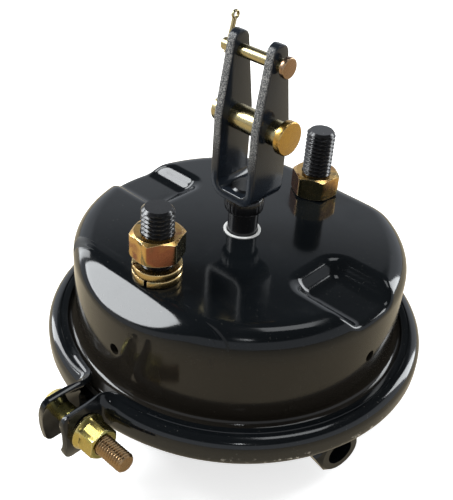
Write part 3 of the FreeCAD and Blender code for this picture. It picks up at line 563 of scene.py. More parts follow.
def zinc_material(name, redness, pale=0.0, light=PALE_ZINC, cream_edges=0.0, head=None, red_reflection_side=None,
                  dark_reflection_side=None):
    """Yellow passivated zinc: tinted metal with hazy roughness and fine grain, and cream along its
    edges. Head is (place, colour, both): beyond that place along -Y, or along both ends of Y, the
    metal has a colour of its own."""
    material, tree, shader, where = make_material(name, ZINC_ROUGHNESS, metallic=1.0)
    tones = place_group(tree, ZINC, where, Redness=redness)
    haze = tones.outputs["Haze"]
    # Painted reflection: the two sides, in degrees, pick the faces that get painted red and dark
    # tints.
    for socket, side in (("Red Reflection Side", red_reflection_side), ("Dark Reflection Side", dark_reflection_side)):
        if side is not None:
            turn = math.radians(side)
            tones.inputs[socket].default_value = (math.cos(turn), math.sin(turn), 0)
    base = mix(tree, pale, tones.outputs["Color"], light)
    if head:
        start, colour, both = head
        along = parts_of(tree, where)["Y"]
        outwards = math_node(tree, "ABSOLUTE", along) if both else product(tree, along, -1.0)
        beyond = ramp(tree, outwards, start * MM, (start + 0.2) * MM)
        face = mix(tree, product(tree, haze, 0.6), colour, RUST_GRAIN)
        base = mix(tree, beyond, base, face)
    smooth = add(tree, "Bevel", samples=4, in_Radius=0.0005)
    # Cream along the edges, where the smoothed normal parts from the face's own.
    edge_share = ramp(tree, dot(tree, smooth.outputs[0], true_normal(tree)), 0.985, 0.94)
    base = mix(tree, product(tree, edge_share, cream_edges), base, CREAM)
    spread = product(tree, haze, ZINC_HAZE)
    finish_shader(tree, shader, base, haze, 0.08,
                  roughness=total(tree, spread, ZINC_ROUGHNESS - 0.4 * ZINC_HAZE))
    return material


def plain_material(name, colour, roughness, metallic=0.0):
    """Evenly finished surface with a fine grain in its colour and height."""
    material, tree, shader, where = make_material(name, roughness, metallic)
    grain = noise(tree, where, in_Scale=500.0, in_Detail=3.0)
    darker = tuple(0.72 * part for part in colour)
    finish_shader(tree, shader, mix(tree, grain, darker, colour), grain, 0.1, 0.0003)
    return material


def yoke_material():
    """Blue-grey black gloss paint, with rough speckled grey where the strap was cut, on its narrow
    edges."""
    material, tree, shader, where = make_material("yoke_paint", 0.16)
    shader.inputs["Specular IOR Level"].default_value = 0.36
    dust = place_group(tree, DUST, where, Speck_Size=1400.0)
    sideways = math_node(tree, "ABSOLUTE", parts_of(tree, true_normal(tree))["X"])
    high = ramp(tree, parts_of(tree, where)["Z"], 40 * MM, 56 * MM)
    cut = product(tree, ramp(tree, sideways, 0.6, 0.8), high)
    grain = noise(tree, where, in_Scale=1500.0, in_Detail=4.0, in_Roughness=0.7)
    speckle = product(tree, cut, ramp(tree, grain, 0.42, 0.68))
    base = mix(tree, speckle, YOKE_BLACK, CUT_GREY)
    height = total(tree, speckle, product(tree, dust.outputs["Height"], 0.3))
    finish_shader(tree, shader, base, height, 0.35,
                  roughness=total(tree, product(tree, cut, 0.35), 0.14))
    return material


HOUSING_PAINT = paint_material("housing_paint", BLACK, 0.12, warm_reflection_and_rubs=0.1, gloss=0.24)
CLAMP_PAINT = paint_material("clamp_paint", BLACK, 0.2, gloss=0.36, chips=True)
STUD_PAINT = paint_material("stud_paint", STUD_BLACK, 0.25, roughness=0.2)
YOKE_PAINT = yoke_material()
# Painted reflection: red and dark tints on the faces turned towards each nut's two sides.
LEFT_NUT_ZINC = zinc_material("left_nut_zinc", 0.5, cream_edges=0.7, red_reflection_side=-125, dark_reflection_side=-65)
RIGHT_NUT_ZINC = zinc_material("right_nut_zinc", 0.5, cream_edges=0.7, red_reflection_side=145, dark_reflection_side=-155)
WASHER_ZINC = zinc_material("washer_zinc", 0.25, 0.4, cream_edges=0.7)
BIG_PIN_ZINC = zinc_material("big_pin_zinc", 0.2, 0.8, cream_edges=0.5,
                             head=(20.7, (0.43, 0.27, 0.055), False))
SMALL_PIN_ZINC = zinc_material("small_pin_zinc", 0.2, 0.8, cream_edges=0.5,
                               head=(17.4, (0.22, 0.15, 0.1), False))
BOLT_ZINC = zinc_material("bolt_zinc", 0.3, 0.8, (0.6, 0.57, 0.2),
                          head=(20.0, (0.3, 0.21, 0.11), True))
# Painted reflection: dark tint on the flange nut's faces turned towards its dark side.
FLANGE_ZINC = zinc_material("flange_zinc", 0.1, 0.6, (0.42, 0.4, 0.12), cream_edges=0.6, dark_reflection_side=-80)
NYLON = plain_material("white_nylon", (0.86, 0.86, 0.84), 0.4)
RUBBER = plain_material("black_rubber", (0.03, 0.03, 0.03), 0.75)
STEEL = plain_material("grey_steel", (0.34, 0.34, 0.35), 0.35, 1.0)
SPRING_STEEL = plain_material("spring_steel", (0.22, 0.22, 0.23), 0.4, 1.0)


# Housing

def smooth_max(first, second, reach):
    """Larger of two distances, eased over reach: max + (reach - difference)^2 / (4 reach) where
    they are near."""
    gap = np.maximum(reach - np.abs(first - second), 0)
    return np.maximum(first, second) + gap * gap / (4 * reach)


def plan_slot(x, y, z):
    """Distance in plan to the recess's rounded outline, which widens with height from its floor to
    the top."""
    share = (z + RECESS_DEPTH) / RECESS_DEPTH
    half = RECESS_FLOOR_HALF + (RECESS_TOP_HALF - RECESS_FLOOR_HALF) * share
    inner = RECESS_FLOOR_IN + (RECESS_TOP_IN - RECESS_FLOOR_IN) * share
    corner = np.maximum(RECESS_FLOOR_ROUND + (RECESS_TOP_ROUND - RECESS_FLOOR_ROUND) * share, 1.0)
    across = np.abs(x) - (half - corner)
    along = (inner + corner) - np.abs(y)
    outside = np.hypot(np.maximum(across, 0), np.maximum(along, 0))
    return outside + np.minimum(np.maximum(across, along), 0) - corner


def housing_distance(points):
    """Signed distance to the stamped form: a round-shouldered cylinder, less both facets and both
    recesses, joined by smooth maxima, so that every edge has a stamped round."""
    x, y, z = points[..., 0], points[..., 1], points[..., 2]
    out = np.hypot(x, y) - (HOUSING_R - SHOULDER_R)
    up = z + SHOULDER_R
    outside = np.hypot(np.maximum(out, 0), np.maximum(up, 0))
    form = outside + np.minimum(np.maximum(out, up), 0) - SHOULDER_R
    slope = math.radians(FACET_ANGLE)
    facet = (np.abs(x) - FACET_CHORD) * math.sin(slope) + z * math.cos(slope)
    form = smooth_max(form, facet, FACET_EASE)
    wall = RECESS_WALL_SLOPE * plan_slot(x, y, z)
    recess = -smooth_max(wall, -(z + RECESS_DEPTH), RECESS_FLOOR_EASE)
    return smooth_max(form, recess, RECESS_EDGE_EASE)


def housing_normal(points):
    """Direction in which the distance grows fastest, from central differences."""
    steps = 0.05 * np.eye(3)
    slope = np.stack([housing_distance(points + move) - housing_distance(points - move)
                      for move in steps], -1)
    return slope / np.linalg.norm(slope, axis=-1, keepdims=True)


def housing_grid():
    """Outer skin as rows from the centre hole to the rim: each point of the plain round-shouldered
    cylinder moves inwards along its own normal until the distance is 0."""
    flat_r = HOUSING_R - SHOULDER_R
    top = [(radius, 0.0, 0.0, 1.0) for radius in np.linspace(CENTRE_HOLE_R, flat_r, 62)]
    shoulder = [(flat_r + SHOULDER_R * math.sin(turn), SHOULDER_R * (math.cos(turn) - 1),
                 math.sin(turn), math.cos(turn)) for turn in np.linspace(0, math.pi / 2, 22)[1:]]
    fine_foot = -SHOULDER_R - WALL_FINE_DEPTH
    heights = np.concatenate([np.linspace(-SHOULDER_R, fine_foot, 12)[1:],
                              np.linspace(fine_foot, RIM_TOP + RIM_BEND, 9)[1:]])
    rows = np.array(top + shoulder + [(HOUSING_R, height, 1.0, 0.0) for height in heights])
    start = turned(rows[:, :2], HOUSING_COLUMNS)
    normal = turned(rows[:, 2:], HOUSING_COLUMNS)
    depth = np.zeros(start.shape[:2])
    for _ in range(60):
        depth += np.maximum(housing_distance(start - depth[..., None] * normal), 0)
    return start - depth[..., None] * normal


def drill(item, holes):
    """Cut round holes, given as (centre, axis, radius), out of a piece."""
    angle = full_circle(HOLE_SIDES)[:, None]
    rings = []
    faces = []
    for centre, axis, radius in holes:
        axis = np.array(axis, float)
        side = unit(np.cross(axis, [0.3, 0.5, 0.8]))
        circle = np.cos(angle) * side + np.sin(angle) * np.cross(axis, side)
        ring = np.array(centre) + radius * circle
        base = len(rings) * HOLE_SIDES
        rings += [ring - axis * HOLE_LENGTH / 2, ring + axis * HOLE_LENGTH / 2]
        faces += (grid_faces(2, HOLE_SIDES, False) + base).tolist()
        faces.append(list(range(base, base + HOLE_SIDES)))
        faces.append(list(range(base + HOLE_SIDES, base + 2 * HOLE_SIDES))[::-1])
    bits = put_in_scene("drill_bits", closed_mesh("drill_bits", np.concatenate(rings), faces))
    cut = item.modifiers.new("holes", "BOOLEAN")
    cut.operation = "DIFFERENCE"
    cut.object = bits
    cut.solver = "EXACT"
    cut_item = item.evaluated_get(bpy.context.evaluated_depsgraph_get())
    made = bpy.data.meshes.new_from_object(cut_item)
    spent = (item.data, bits.data)
    item.modifiers.clear()
    item.data = made
    made.name = item.name
    made.set_sharp_from_angle(angle=math.radians(30))
    bpy.data.objects.remove(bits)
    for mesh in spent:
        bpy.data.meshes.remove(mesh)


def make_housing():
    """Stamped shell: outer skin, rolled rim and inner skin in one closed grid, then its holes."""
    outer = housing_grid()
    inner = outer[:-8:3] - SHEET * housing_normal(outer[:-8:3])
    inner[0] = turned(np.array([[CENTRE_HOLE_R, -SHEET]]), HOUSING_COLUMNS)[0]
    inside_r = HOUSING_R - SHEET
    rim = rounded([(HOUSING_R, RIM_TOP + RIM_BEND, 0), (HOUSING_R, RIM_TOP, RIM_BEND),
                   (RIM_R, RIM_TOP, RIM_EASE), (RIM_R, RIM_FOOT, RIM_EASE),
                   (inside_r + RIM_BEND, RIM_FOOT, 0), (inside_r, RIM_FOOT + RIM_BEND, 0)])[1:]
    grid = np.concatenate([outer, turned(rim, HOUSING_COLUMNS), inner[::-1]])
    housing = surface_piece("housing_shell", grid, "chamber", HOUSING_PAINT,
                            "non_pressure_housing", wrap_rows=True)
    holes = []
    for turn in np.radians([0, 90, 180, 270]):
        out = np.array([math.cos(turn), math.sin(turn), 0])
        holes.append((out * HOUSING_R + [0, 0, VENT_Z], out, VENT_R))
    holes += [((side * STUD_X, 0, 0), (0, 0, 1), STUD_HOLE_R) for side in (-1, 1)]
    drill(housing, holes)


# Clamp ring

def ease(value):
    """Smooth step from 0 to 1: 3 v^2 - 2 v^3."""
    value = np.clip(value, 0, 1)
    return value * value * (3 - 2 * value)


def clamp_path():
    """Plan line of a half ring's outer face, from the middle of the ring to an ear's end: the
    ring's arc, the arc of the bend outside the ring, and the straight ear. Gives points, inward
    directions and how far the lips are unfolded (0 to 1)."""
    centre_y = EAR_FACE + EAR_BEND
    centre_x = math.sqrt((CLAMP_R + EAR_BEND) ** 2 - centre_y ** 2)
    meet = math.atan2(centre_y, centre_x)
    ring_end = math.radians(RING_END)
    rows = []
    arc = [(angle, 0.0) for angle in np.linspace(math.pi / 2, ring_end, 90)[:-1]]
    arc += [(ring_end + (meet - ring_end) * share, share * UNFOLDED_ON_RING)
            for share in np.linspace(0, 1, 16)[:-1]]
    for angle, unfolded in arc:
        out = np.array([math.cos(angle), math.sin(angle)])
        rows.append((*(out * CLAMP_R), *-out, unfolded))
    in_bend = UNFOLDED_AFTER_BEND - UNFOLDED_ON_RING
    for share in np.linspace(0, 1, 18)[:-1]:
        angle = (math.pi + meet) * (1 - share) + math.pi * 1.5 * share
        out = np.array([math.cos(angle), math.sin(angle)])
        rows.append((centre_x + out[0] * EAR_BEND, centre_y + out[1] * EAR_BEND, *out,
                     UNFOLDED_ON_RING + share * in_bend))
    for share in np.concatenate([np.linspace(0, 0.7, 12), np.linspace(0.72, 1, 22)]):
        rows.append((centre_x + (EAR_REACH - centre_x) * share, EAR_FACE, 0.0, -1.0,
                     min(UNFOLDED_AFTER_BEND + share * 0.5, 1.0)))
    return np.array(rows)


def clamp_sections(path):
    """Section at each place, as (inward, up) points: a web, then a corner of constant length that
    turns by the fold angle, then a lip with a shallow groove at its foot. The fold goes from 90
    degrees on the ring to nearly flat on the ear, whose end is rounded by a quarter circle in its
    height."""
    opened = ease(path[:, 4])
    on_ear = path[:, 4] > UNFOLDED_AFTER_BEND - 0.01
    from_end = np.clip(np.where(on_ear, EAR_REACH - path[:, 0], EAR_ROUND), 0, EAR_ROUND)
    cut = EAR_ROUND - np.sqrt(np.maximum(EAR_ROUND ** 2 - (EAR_ROUND - from_end) ** 2, 0))
    web = CLAMP_HALF_HEIGHT - CLAMP_CORNER
    corner_length = CLAMP_CORNER * math.pi / 2
    ring_lip = CLAMP_R - LIP_IN_R - CLAMP_CORNER
    ear_lip = EAR_HALF_HEIGHT - web - corner_length
    sections = []
    for share, short in zip(opened, cut):
        fold = math.radians(90 + (EAR_FOLD - 90) * share)
        radius = corner_length / fold
        lip = ring_lip * (1 - share) + ear_lip * share
        thick = CLAMP_SHEET * (1 - share) + EAR_SHEET * share
        groove = np.clip(1 - share * 3, 0, 1) * GROOVE_DEPTH
        turn = np.linspace(0, fold, 9)
        run = np.array([math.sin(fold), math.cos(fold)])
        across = np.array([math.cos(fold), -math.sin(fold)])
        outer, inner = [np.stack([radius - size * np.cos(turn), web + size * np.sin(turn)], -1)
                        for size in (radius, radius - thick)]
        near_end = lip - LIP_EDGE * 0.3
        steps = [(outer, 0.15, 0), (outer, 0.5, groove), (outer, 0.85, groove), (outer, 1.2, 0),
                 (outer, lip - LIP_EDGE, 0), (outer, near_end, LIP_EDGE * 0.3),
                 (outer, lip, LIP_EDGE), (inner, lip, -LIP_EDGE),
                 (inner, near_end, -LIP_EDGE * 0.3), (inner, lip - LIP_EDGE, 0)]
        lip_line = [side[-1] + run * along + across * depth for side, along, depth in steps]
        upper = np.concatenate([outer, lip_line, inner[::-1]])
        section = np.concatenate([upper, upper[::-1] * np.array([1, -1])])
        height = np.abs(section[:, 1]).max()
        section[:, 1] *= (height - short) / height
        sections.append(section)
    return np.array(sections)


def make_clamp_half(name, turn, node):
    """Carry the section along the plan line: place + inward * across, height. Mirrored in X for the
    other end; turn -1 gives the half on the other side."""
    path = clamp_path()
    sections = clamp_sections(path)
    flat = path[:, None, :2] + sections[..., :1] * path[:, None, 2:4]
    quarter = np.concatenate([flat, sections[..., 1:] + CLAMP_Z], -1)
    other = quarter[:0:-1] * np.array([-1, 1, 1])
    grid = np.concatenate([other, quarter])
    grid[..., :2] *= turn
    surface_piece(name, grid, "chamber", CLAMP_PAINT, node, capped=True, sharp=50)


# Studs, nuts and washers

def make_stud(side, sign):
    """Head under the shell, then a helical thread up to the chamfered end."""
    angle, height, radius = thread_rows(STUD_R, STUD_THREAD, STUD_PITCH, STUD_THREAD_FOOT,
                                        STUD_TOP, STUD_CHAMFER)
    body = on_axis(angle, radius, height)
    columns = body.shape[1]
    head = rounded([(0, STUD_HEAD_FOOT, 0), (STUD_HEAD_R, STUD_HEAD_FOOT, 0.6),
                    (STUD_HEAD_R, -SHEET, 0.4), (STUD_R - STUD_THREAD, -SHEET, 0)])
    top = turned(np.array([[STUD_R * 0.45, STUD_TOP], [0, STUD_TOP]]), columns)
    grid = np.concatenate([turned(head, columns), body, top])
    grid[..., 0] += sign * STUD_X
    surface_piece("stud_" + side + "_threaded", grid, "chamber", STUD_PAINT,
                  "stud_" + side)


def make_stud_nut(side, sign, seat, turn, material):
    """Hexagon nut round a stud, at its seat's height and turned by some degrees."""
    angle, radius, height = hexagon_nut(NUT_FLATS, NUT_HEIGHT, NUT_BORE_R, turn, seat)
    grid = on_axis(angle, radius, height, (sign * STUD_X, 0))
    surface_piece("nut_" + side, grid, "chamber", material, "stud_nut_" + side,
                  wrap_rows=True)


def make_spring_washer(name, foot, split, node):
    """Split ring round the left stud, with its foot's height and its gap's place in degrees: an
    eased section carried round, its ends a little apart."""
    top = foot + WASHER_HEIGHT - 0.1
    section = rounded([(WASHER_BORE_R, foot, 0.4), (WASHER_R, foot, 0.7), (WASHER_R, top, 0.7),
                       (WASHER_BORE_R, top, 0.4)], closed=True, steps=3)
    start = math.radians(split + WASHER_GAP_HALF)
    angle = np.linspace(start, start + math.radians(360 - 2 * WASHER_GAP_HALF), WASHER_COLUMNS)
    grid = on_axis(angle[:, None], section[None, :, 0], section[None, :, 1], (-STUD_X, 0))
    surface_piece(name, grid, "chamber", WASHER_ZINC, node, capped=True)


# Yoke

def along_line(path, normal, section):
    """Points of a section of (across, out) carried along a line: line + out * normal. Gives the
    across, first and second coordinates."""
    out = section[..., 1]
    first = path[:, None, 0] + out * normal[:, None, 0]
    second = path[:, None, 1] + out * normal[:, None, 1]
    return np.broadcast_to(section[..., 0], first.shape), first, second


def line_normals(path, sign):
    """Unit vectors square to a line, on its left for sign 1 and on its right for sign -1."""
    tangent = np.gradient(path, axis=0)
    tangent /= np.linalg.norm(tangent, axis=1, keepdims=True)
    return sign * np.stack([-tangent[:, 1], tangent[:, 0]], -1)


def make_yoke():
    """Strap bent to a U: its middle line runs down one arm, round two bends and up the other. Its
    half width narrows above the shoulder and follows a circle at each tip; its section has eased
    corners."""
    thick = YOKE_SHEET / 2
    middle = YOKE_INNER + thick
    base = YOKE_BASE + thick
    bend = YOKE_BEND - thick + 2
    line = rounded([(-middle, YOKE_TOP, 0), (-middle, base, bend), (middle, base, bend),
                    (middle, YOKE_TOP, 0)], steps=16)
    down = YOKE_TOP - (1 - np.cos(np.linspace(0, math.pi / 2, 16))) * YOKE_FINE_TOP
    lower = np.linspace(YOKE_TOP - YOKE_FINE_TOP, YOKE_ARM_FOOT, 60)[1:]
    down = np.concatenate([down, lower])
    left = np.stack([np.full(len(down), -middle), down], -1)
    path = np.concatenate([left, line[1:-1], left[::-1] * np.array([-1, 1])])
    path = path[np.concatenate([[True], np.linalg.norm(np.diff(path, axis=0), axis=1) > 1e-6])]
    height = path[:, 1]
    round_start = YOKE_TOP - YOKE_TIP_HALF
    taper = np.clip((height - YOKE_SHOULDER) / (round_start - YOKE_SHOULDER), 0, 1)
    half = YOKE_HALF_WIDTH + (YOKE_TIP_HALF - YOKE_HALF_WIDTH) * taper
    tip = np.clip(height - round_start, 0, YOKE_TIP_HALF)
    half = np.where(tip > 0, np.sqrt(np.maximum(YOKE_TIP_HALF ** 2 - tip ** 2, 0.04)), half)
    sections = []
    for width in half:
        corner = min(YOKE_EDGE, width * 0.45)
        corners = [(width, thick), (-width, thick), (-width, -thick), (width, -thick)]
        sections.append(rounded([(*place, corner) for place in corners], closed=True, steps=3))
    grid = np.stack(along_line(path, line_normals(path, 1), np.array(sections)), -1)
    surface_piece("yoke_strap", grid, "push_rod_assembly", YOKE_PAINT, "yoke",
                  capped=True, sharp=40)


def make_weld():
    """Rippled bead round the rod: an oval section, r = middle + wide cos u, z = centre + height sin
    u, whose outer side swells with a wave along the circle."""
    angle = full_circle(240)[None, :]
    turn = full_circle(28)[:, None]
    ripple = 0.25 * np.abs(np.sin(angle * 13)) + 0.2 * np.sin(angle * 3 + 1)
    middle = (ROD_R + WELD_R) / 2
    wide = (WELD_R - ROD_R) / 2
    radius = middle + wide * np.cos(turn) + (ripple - 0.3) * np.maximum(np.cos(turn), 0)
    rise = (YOKE_BASE + WELD_BASE) / 2 + (YOKE_BASE - WELD_BASE) / 2 * np.sin(turn)
    grid = on_axis(angle, radius, np.minimum(rise, YOKE_BASE))
    surface_piece("weld_bead", grid, "push_rod_assembly", STUD_PAINT, "yoke_weld",
                  wrap_rows=True, sharp=60)


# Pins and their split pins

def make_pin(name, level, radius, head_r, head, head_face, end, body, material):
    """Headed pin along Y: turned profile with a crowned head and a chamfered end."""
    under_head = head - head_face
    profile = rounded([(0, -head_face, 0), (head_r, -head_face, 0.7), (head_r, under_head, 0.4),
                       (radius, under_head, 0), (radius, end - 1.0, 0.3), (radius - 1.0, end, 0.3),
                       (0, end, 0)], steps=4)
    surface_piece(name + "_turned", turned(profile, 96, (0, level), "Y"), body,
                  material, name)


def make_cotter(name, level, wire, up, down, body):
    """Split pin: an oval wire carried up one leg, round the eye and back down the other leg."""
    eye = wire * 1.5
    leg = wire / 2
    neck = up - 2.4 * eye
    line = [(leg, -down), (leg, neck)]
    turn = np.linspace(-math.pi / 2 + 0.5, 3 * math.pi / 2 - 0.5, 40)
    line += [(eye * math.cos(t), up - eye - leg + eye * math.sin(t)) for t in turn]
    line += [(-leg, neck), (-leg, -down + 1.0)]
    path = np.array(line)
    ring = full_circle(16)
    section = np.stack([wire * 0.8 * np.sin(ring), leg * 0.95 * np.cos(ring)], -1)
    y, x, z = along_line(path, line_normals(path, -1), section[None])
    tilt = math.radians(COTTER_TILT)
    grid = np.stack([x * math.cos(tilt) + z * math.sin(tilt), y + COTTER_Y,
                     -x * math.sin(tilt) + z * math.cos(tilt) + level], -1)
    surface_piece(name + "_wire", grid, body, BIG_PIN_ZINC, name, capped=True,
                  sharp=50)


# Clamp bolts

def make_clamp_bolt(side, sign):
    """Round-headed bolt along Y: crowned head behind the rear ear, thread through both ears."""
    angle, height, radius = thread_rows(BOLT_R, BOLT_THREAD, BOLT_PITCH, EAR_FACE, BOLT_END, 1.0,
                                        BOLT_COLUMNS)
    core_r = BOLT_R - BOLT_THREAD
    head = rounded([(0, -EAR_FACE - BOLT_HEAD, 0), (BOLT_HEAD_R * 0.8, -EAR_FACE - BOLT_HEAD, 1.5),
                    (BOLT_HEAD_R, -EAR_FACE - 1.2, 0.6), (BOLT_HEAD_R, -EAR_FACE, 0.3),
                    (core_r, -EAR_FACE, 0)])
    shank = [[BOLT_R, -EAR_FACE + 0.4], [BOLT_R, EAR_FACE - 1.5], [core_r, EAR_FACE - 0.3]]
    foot = turned(np.concatenate([head, shank]), BOLT_COLUMNS, axis="Y")
    top = turned(np.array([[BOLT_R * 0.5, BOLT_END], [0, BOLT_END]]), BOLT_COLUMNS, axis="Y")
    grid = np.concatenate([foot, on_axis(angle, radius, height, axis="Y"), top])
    grid[..., :2] *= sign
    grid += np.array([sign * BOLT_X, 0, CLAMP_Z])
    surface_piece("clamp_bolt_" + side + "_threaded", grid, "chamber", BOLT_ZINC,
                  "clamp_bolt_" + side)


def make_flange_nut(side, sign):
    """Flange with a sloping top, then the hexagon with its chamfered end."""
    columns = 144
    angle = full_circle(columns)
    hexagon = hexagon_radius(angle, FLANGE_NUT_FLATS, 20, 0.35)
    circle = FLANGE_NUT_FLATS * NUT_CIRCLE
    slope = math.tan(math.radians(NUT_CONE))
    end = EAR_FACE + FLANGE_NUT_HEIGHT
    bore = BOLT_R - 0.5
    rows = [(bore, EAR_FACE), (FLANGE_R, EAR_FACE), (FLANGE_R, EAR_FACE + 1.0),
            (FLANGE_R - 0.4, EAR_FACE + 1.4), (hexagon + 0.3, EAR_FACE + FLANGE_HEIGHT),
            (hexagon, EAR_FACE + FLANGE_HEIGHT + 0.5)]
    for share in (1.0, 0.7, 0.35, 0.0):
        radius = circle + (hexagon - circle) * share
        rows.append((radius, end - (radius - circle) * slope))
    rows += [(BOLT_R + 0.4, end), (bore, end - 0.9)]
    radius, height = stack_rows(rows, columns)
    grid = on_axis(angle, radius, sign * height, (sign * BOLT_X, CLAMP_Z), "Y")
    surface_piece("clamp_nut_" + side + "_flanged", grid, "chamber", FLANGE_ZINC,
                  "clamp_nut_" + side, wrap_rows=True)


# Lower dish

def make_dish():
    """Deep-drawn lower shell: rim, wall that narrows downwards, rounded floor."""
    floor = -DISH_DROP
    profile = rounded([(0, floor, 0), (DISH_FLOOR_R, floor, DISH_ROUND),
                       (DISH_TOP_R, DISH_RIM_FOOT, RIM_BEND), (RIM_R, DISH_RIM_FOOT, RIM_EASE),
                       (RIM_R, DISH_RIM_TOP, RIM_EASE),
                       (DISH_TOP_R - SHEET, DISH_RIM_TOP, RIM_BEND + SHEET),
                       (DISH_FLOOR_R - SHEET, floor + SHEET, DISH_ROUND - SHEET),
                       (0, floor + SHEET, 0)], steps=10)
    surface_piece("lower_dish", turned(profile, 240), "chamber", CLAMP_PAINT,
                  "pressure_plate")


def finish_cad_nodes():
    """Materials of the nodes whose CAD shape stays."""
    looks = {"rod_guide_bush": NYLON, "port_boss": CLAMP_PAINT, "diaphragm": RUBBER,
             "push_plate": STEEL, "push_rod": STUD_PAINT, "return_spring": SPRING_STEEL}
    for node, material in looks.items():
        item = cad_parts[node]
        item.data.materials.clear()
        item.data.materials.append(material)


# Camera, floor and lights

CEILING_FOOT = 31.0
CEILING_TOP = 36.0
CEILING_GLOW = 0.08
WARM_FLOOR = (0.42, 0.36, 0.26)
COOL_WALLS = (0.93, 0.98, 1.05)
FLOOR_HALF = 4.0
FLOOR_GLOW = 0.66
FILL_GLOW = 0.45
LAMP_COLOUR = (0.95, 0.98, 1.0)
LAMP_AIM = Vector((0, 0, -0.02))
# Name, azimuth, elevation, distance, width and height in metres, watts
LAMPS = (
    ("key_panel", 126, 39, 1.3, 0.42, 0.58, 18.0),
    ("top_panel", -33, 72, 1.5, 0.5, 0.5, 4.0),
    ("right_panel", -24, 20, 1.3, 0.36, 0.85, 11.0),
    ("left_panel", 101, 18, 1.3, 0.3, 0.85, 8.0),
    ("front_lamp", -131, 44, 1.3, 0.07, 0.07, 0.6),
)


def make_camera():
    """Camera at the solved place: it looks along the azimuth and elevation, rolled about its own
    axis. The azimuth is counted from the view along +Y."""
    azimuth = math.radians(CAMERA_AZIMUTH)
    elevation = math.radians(CAMERA_ELEVATION)
    roll = math.radians(CAMERA_ROLL)
    look = Vector((-math.sin(azimuth) * math.cos(elevation),
                   math.cos(azimuth) * math.cos(elevation), -math.sin(elevation)))
    right = Vector((math.cos(azimuth), math.sin(azimuth), 0))
    up = right.cross(look)
    across = right * math.cos(roll) + up * math.sin(roll)
    upward = up * math.cos(roll) - right * math.sin(roll)
    data = bpy.data.cameras.new("camera")
    data.sensor_fit = "HORIZONTAL"
    data.sensor_width = SENSOR_WIDTH
    data.lens = FOCAL_PIXELS * SENSOR_WIDTH / IMAGE_WIDTH
    data.clip_start = 0.01
    data.clip_end = 20
    camera = put_in_scene("camera", data)
    place = (Vector(CAMERA_TARGET) - look * CAMERA_DISTANCE) * MM
    turned_to = Matrix((across, upward, -look)).transposed().to_4x4()
    camera.matrix_world = Matrix.Translation(place) @ turned_to
    bpy.context.scene.camera = camera


def seen_directly(tree):
    """1 for rays from the camera, mirror rays and rays through glass."""
    rays = tree.nodes.new("ShaderNodeLightPath").outputs
    seen = math_node(tree, "MAXIMUM", rays["Is Camera Ray"], rays["Is Glossy Ray"])
    return math_node(tree, "MAXIMUM", seen, rays["Is Transmission Ray"])


def make_floor():
    """White floor: a plain diffuse surface that also glows a little where it is seen, so that it
    keeps a shadow. In mirror rays it is a warm grey."""
    mesh = bpy.data.meshes.new("floor")
    corners = ((-1, -1), (1, -1), (1, 1), (-1, 1))
    mesh.from_pydata([(x * FLOOR_HALF, y * FLOOR_HALF, -DISH_DROP * MM) for x, y in corners], [],
                     [(0, 1, 2, 3)])
    floor = put_in_scene("floor", mesh)
    material, tree, shader = new_material("floor_white")
    shader.inputs["Roughness"].default_value = 1.0
    shader.inputs["Specular IOR Level"].default_value = 0.0
    mirrored = tree.nodes.new("ShaderNodeLightPath").outputs["Is Glossy Ray"]
    base = mix(tree, mirrored, (0.8, 0.8, 0.8), WARM_FLOOR)
    tree.links.new(base, shader.inputs["Base Color"])
    glow = mix(tree, mirrored, (1, 1, 1), WARM_FLOOR)
    tree.links.new(glow, shader.inputs["Emission Color"])
    strength = product(tree, seen_directly(tree), FLOOR_GLOW)
    tree.links.new(strength, shader.inputs["Emission Strength"])
    mesh.materials.append(material)


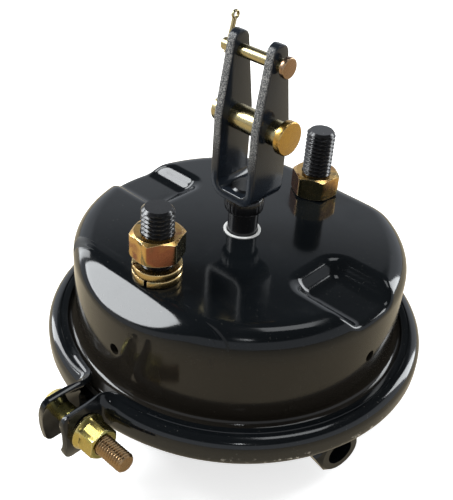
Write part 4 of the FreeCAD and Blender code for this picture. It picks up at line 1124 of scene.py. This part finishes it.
def make_world():
    """White backdrop where it is seen, and a fill for the other rays. In mirror rays it is white up
    to CEILING_FOOT degrees and falls to CEILING_GLOW at CEILING_TOP degrees."""
    world = bpy.data.worlds.new("studio")
    world.use_nodes = True
    bpy.context.scene.world = world
    tree = world.node_tree
    background = tree.nodes["Background"]
    rays = tree.nodes.new("ShaderNodeLightPath").outputs
    colour = mix(tree, rays["Is Glossy Ray"], (1, 1, 1), COOL_WALLS)
    tree.links.new(colour, background.inputs["Color"])
    up = parts_of(tree, tree.nodes.new("ShaderNodeTexCoord").outputs["Generated"])["Z"]
    ceiling = add(tree, "MapRange", in_1=math.sin(math.radians(CEILING_FOOT)),
                  in_2=math.sin(math.radians(CEILING_TOP)), in_3=1.0, in_4=CEILING_GLOW)
    tree.links.new(up, ceiling.inputs[0])
    mirrored = product(tree, rays["Is Glossy Ray"], ceiling.outputs[0])
    direct = math_node(tree, "MAXIMUM", rays["Is Camera Ray"], rays["Is Transmission Ray"])
    unseen = math_node(tree, "SUBTRACT", 1.0, seen_directly(tree))
    strength = total(tree, math_node(tree, "MAXIMUM", direct, mirrored),
                     product(tree, unseen, FILL_GLOW))
    tree.links.new(strength, background.inputs["Strength"])


def make_lamp(name, azimuth, elevation, distance, width, height, power):
    """Soft panel at a distance along a direction from the object, turned to face it."""
    data = bpy.data.lights.new(name, "AREA")
    data.shape = "RECTANGLE"
    data.size = width
    data.size_y = height
    data.energy = power
    data.color = LAMP_COLOUR
    azimuth, elevation = math.radians(azimuth), math.radians(elevation)
    away = distance * Vector((math.cos(azimuth) * math.cos(elevation),
                              math.sin(azimuth) * math.cos(elevation), math.sin(elevation)))
    turned_to = away.to_track_quat("Z", "Y").to_matrix().to_4x4()
    put_in_scene(name, data).matrix_world = Matrix.Translation(LAMP_AIM + away) @ turned_to


make_camera()
make_floor()
make_world()
for lamp in LAMPS:
    make_lamp(*lamp)

make_housing()
make_clamp_half("clamp_channel_front", -1, "clamp_half_front")
make_clamp_half("clamp_channel_rear", 1, "clamp_half_rear")
for side, sign, seat, turn, zinc in (
        ("left", -1, LEFT_NUT_SEAT, LEFT_NUT_TURN, LEFT_NUT_ZINC),
        ("right", 1, RIGHT_NUT_SEAT, RIGHT_NUT_TURN, RIGHT_NUT_ZINC)):
    make_stud(side, sign)
    make_stud_nut(side, sign, seat, turn, zinc)
    make_clamp_bolt(side, sign)
    make_flange_nut(side, sign)
make_spring_washer("split_washer_lower", *LOWER_WASHER, "spring_washer_lower")
make_spring_washer("split_washer_upper", *UPPER_WASHER, "spring_washer_upper")
make_yoke()
make_weld()
make_pin("clevis_pin", *CLEVIS_PIN, "clevis_pin_set", BIG_PIN_ZINC)
make_pin("link_pin", *LINK_PIN, "link_pin_set", SMALL_PIN_ZINC)
make_cotter("clevis_cotter", *CLEVIS_COTTER, "clevis_pin_set")
make_cotter("link_cotter", *LINK_COTTER, "link_pin_set")
make_dish()
finish_cad_nodes()

bpy.context.scene.view_settings.view_transform = "Standard"
